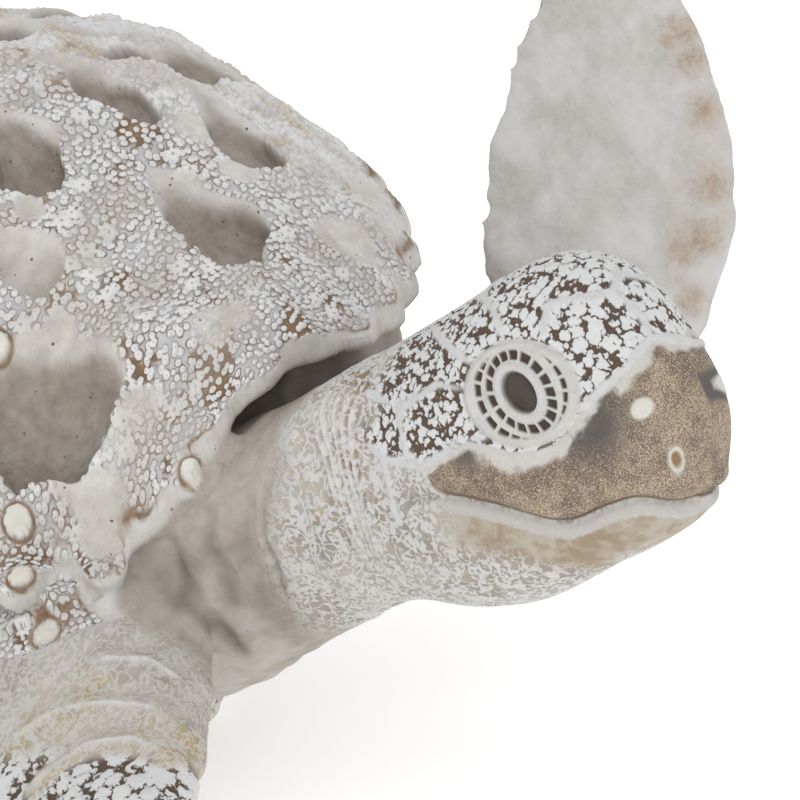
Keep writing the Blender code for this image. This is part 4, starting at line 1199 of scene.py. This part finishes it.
# the parting behind the plates, and the eye pieces' middle and reach, in the head's own directions
HEAD_END = 31
EYE_PIECE_MIDDLE = (-0.5, 1.1)
EYE_PIECE_REACH = 11.6

is_head = (at_head[:, 1] < HEAD_END) & (at_head[:, 2] > -62) & (np.abs(at_head[:, 0]) < 32)
from_eye_middle = np.hypot(*(at_head[:, 1:] - EYE_PIECE_MIDDLE).T)
is_eye = is_head & (from_eye_middle < EYE_PIECE_REACH) & (np.abs(at_head[:, 0]) > 12)
dress("eye_right", is_eye & (at_head[:, 0] < 0), 3, 44000)
dress("eye_left", is_eye, 2, 12000)
dress("head", is_head, 2, 155000)

# Neck: cast resin modelled as loose folded skin and drybrushed in fine threads over ochre. It runs in under the
# shell's arch in one with the trunk.

NECK_END = 64

is_neck = (at_head[:, 1] < NECK_END) & (at_head[:, 2] > -95) & (np.abs(at_head[:, 0]) < 34)
dress("neck", is_neck, 2, 124000)

# Front flippers: resin cast in one with the shoulders, the left one raised behind the head with brown knobs on
# its edge, the right one reaching down in front, pebbled with flakes past its folds.

is_left = (at_upright[:, 0] > 50) & (at_upright[:, 1] < -66) & ~is_shell
is_right = (at_upright[:, 0] < -66) & (at_upright[:, 1] < -50) & ~is_shell
dress("flipper_left", is_left, 1, 54000)
dress("flipper_right", is_right, 1, 39000)

# Shell and trunk: the cast body with its coral above, and the belly, back flippers and tail below. It is one
# form, parted across into four lengths from the nape to the tail, the finest at the front.

# where each length ends in the body's own directions, how finely it is divided and its most triangles
LENGTHS = [("body_front", -47, 2, 189000), ("body_shoulders", -14, 2, 157000), ("body_middle", 35, 1, 82000),
           ("body_back", math.inf, 1, 73000)]

is_base = (face_middle[:, 2] < 50) & (from_base < 85) & (at_upright[:, 1] > -62)
for name, end, levels, triangles in LENGTHS:
    dress(name, ~is_base & (at_body[:, 1] < end), levels, triangles)

# Base skin: the resin cast as rough rock, in one with the belly that it carries. It has the same stain and
# whitewash as the turtle, and is sawn flat underneath to stand on.

ROCK_SWELLS = ((3.0, 17, 11), (0.75, 9, 12))
ROCK_PITS = (0.35, 4, 13)
ROCK_CRUST = 4.0


def whitewashed_rock(name):
    """Cast polyester resin in the shape of rock: brown in the pits, chalky white dragged over the swells."""
    material = bpy.data.materials.new(name)
    material.use_nodes = True
    tree = material.node_tree
    shader = tree.nodes["Principled BSDF"]
    place = add(tree, "ShaderNodeAttribute", output=1, attribute_name="rest")
    crust = add(tree, "ShaderNodeTexNoise", {0: place, 2: 1 / ROCK_CRUST, 3: 8.0, 4: 0.65})
    washed = add(tree, "ShaderNodeMapRange", {0: crust, 1: 0.42, 2: 0.56}, interpolation_type="SMOOTHSTEP")
    tree.links.new(coats(tree, washed, [(1, "6f5a47", "dcd8d2")]), shader.inputs["Base Color"])
    relief = add(tree, "ShaderNodeBump", {0: 0.5, 1: 0.001, 3: crust})
    tree.links.new(relief, shader.inputs["Normal"])
    shader.inputs["Roughness"].default_value = 0.8
    return material


base_skin = cut_out("rock_base", np.ones(len(face_middle), bool), 0)
points = points_of(base_skin)
rock = fade(62, 50, points[:, 2]) * fade(-46, -38, points[:, 1])
rise = sum(high * lumps(points, wide, seed) for high, wide, seed in ROCK_SWELLS) * rock
place_points(base_skin, points + normals_of(base_skin) * rise[:, None])
points = points_of(base_skin)
keep(base_skin, "rest", points)
pits = ROCK_PITS[0] * lumps(points, *ROCK_PITS[1:]) * rock
rock_base = finish_piece("rock_base", base_skin, points, pits, 40000, [whitewashed_rock("whitewashed resin rock")])
shape = bmesh.new()
shape.from_mesh(rock_base.data)
cut = bmesh.ops.bisect_plane(shape, geom=shape.verts[:] + shape.edges[:] + shape.faces[:], plane_co=(0, 0, 0),
                             plane_no=(0, 0, -1), clear_outer=True)["geom_cut"]
bmesh.ops.holes_fill(shape, edges=[part for part in cut if isinstance(part, bmesh.types.BMEdge)], sides=0)
shape.to_mesh(rock_base.data)
shape.free()
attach(rock_base, "root")
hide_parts("turtle_statue")
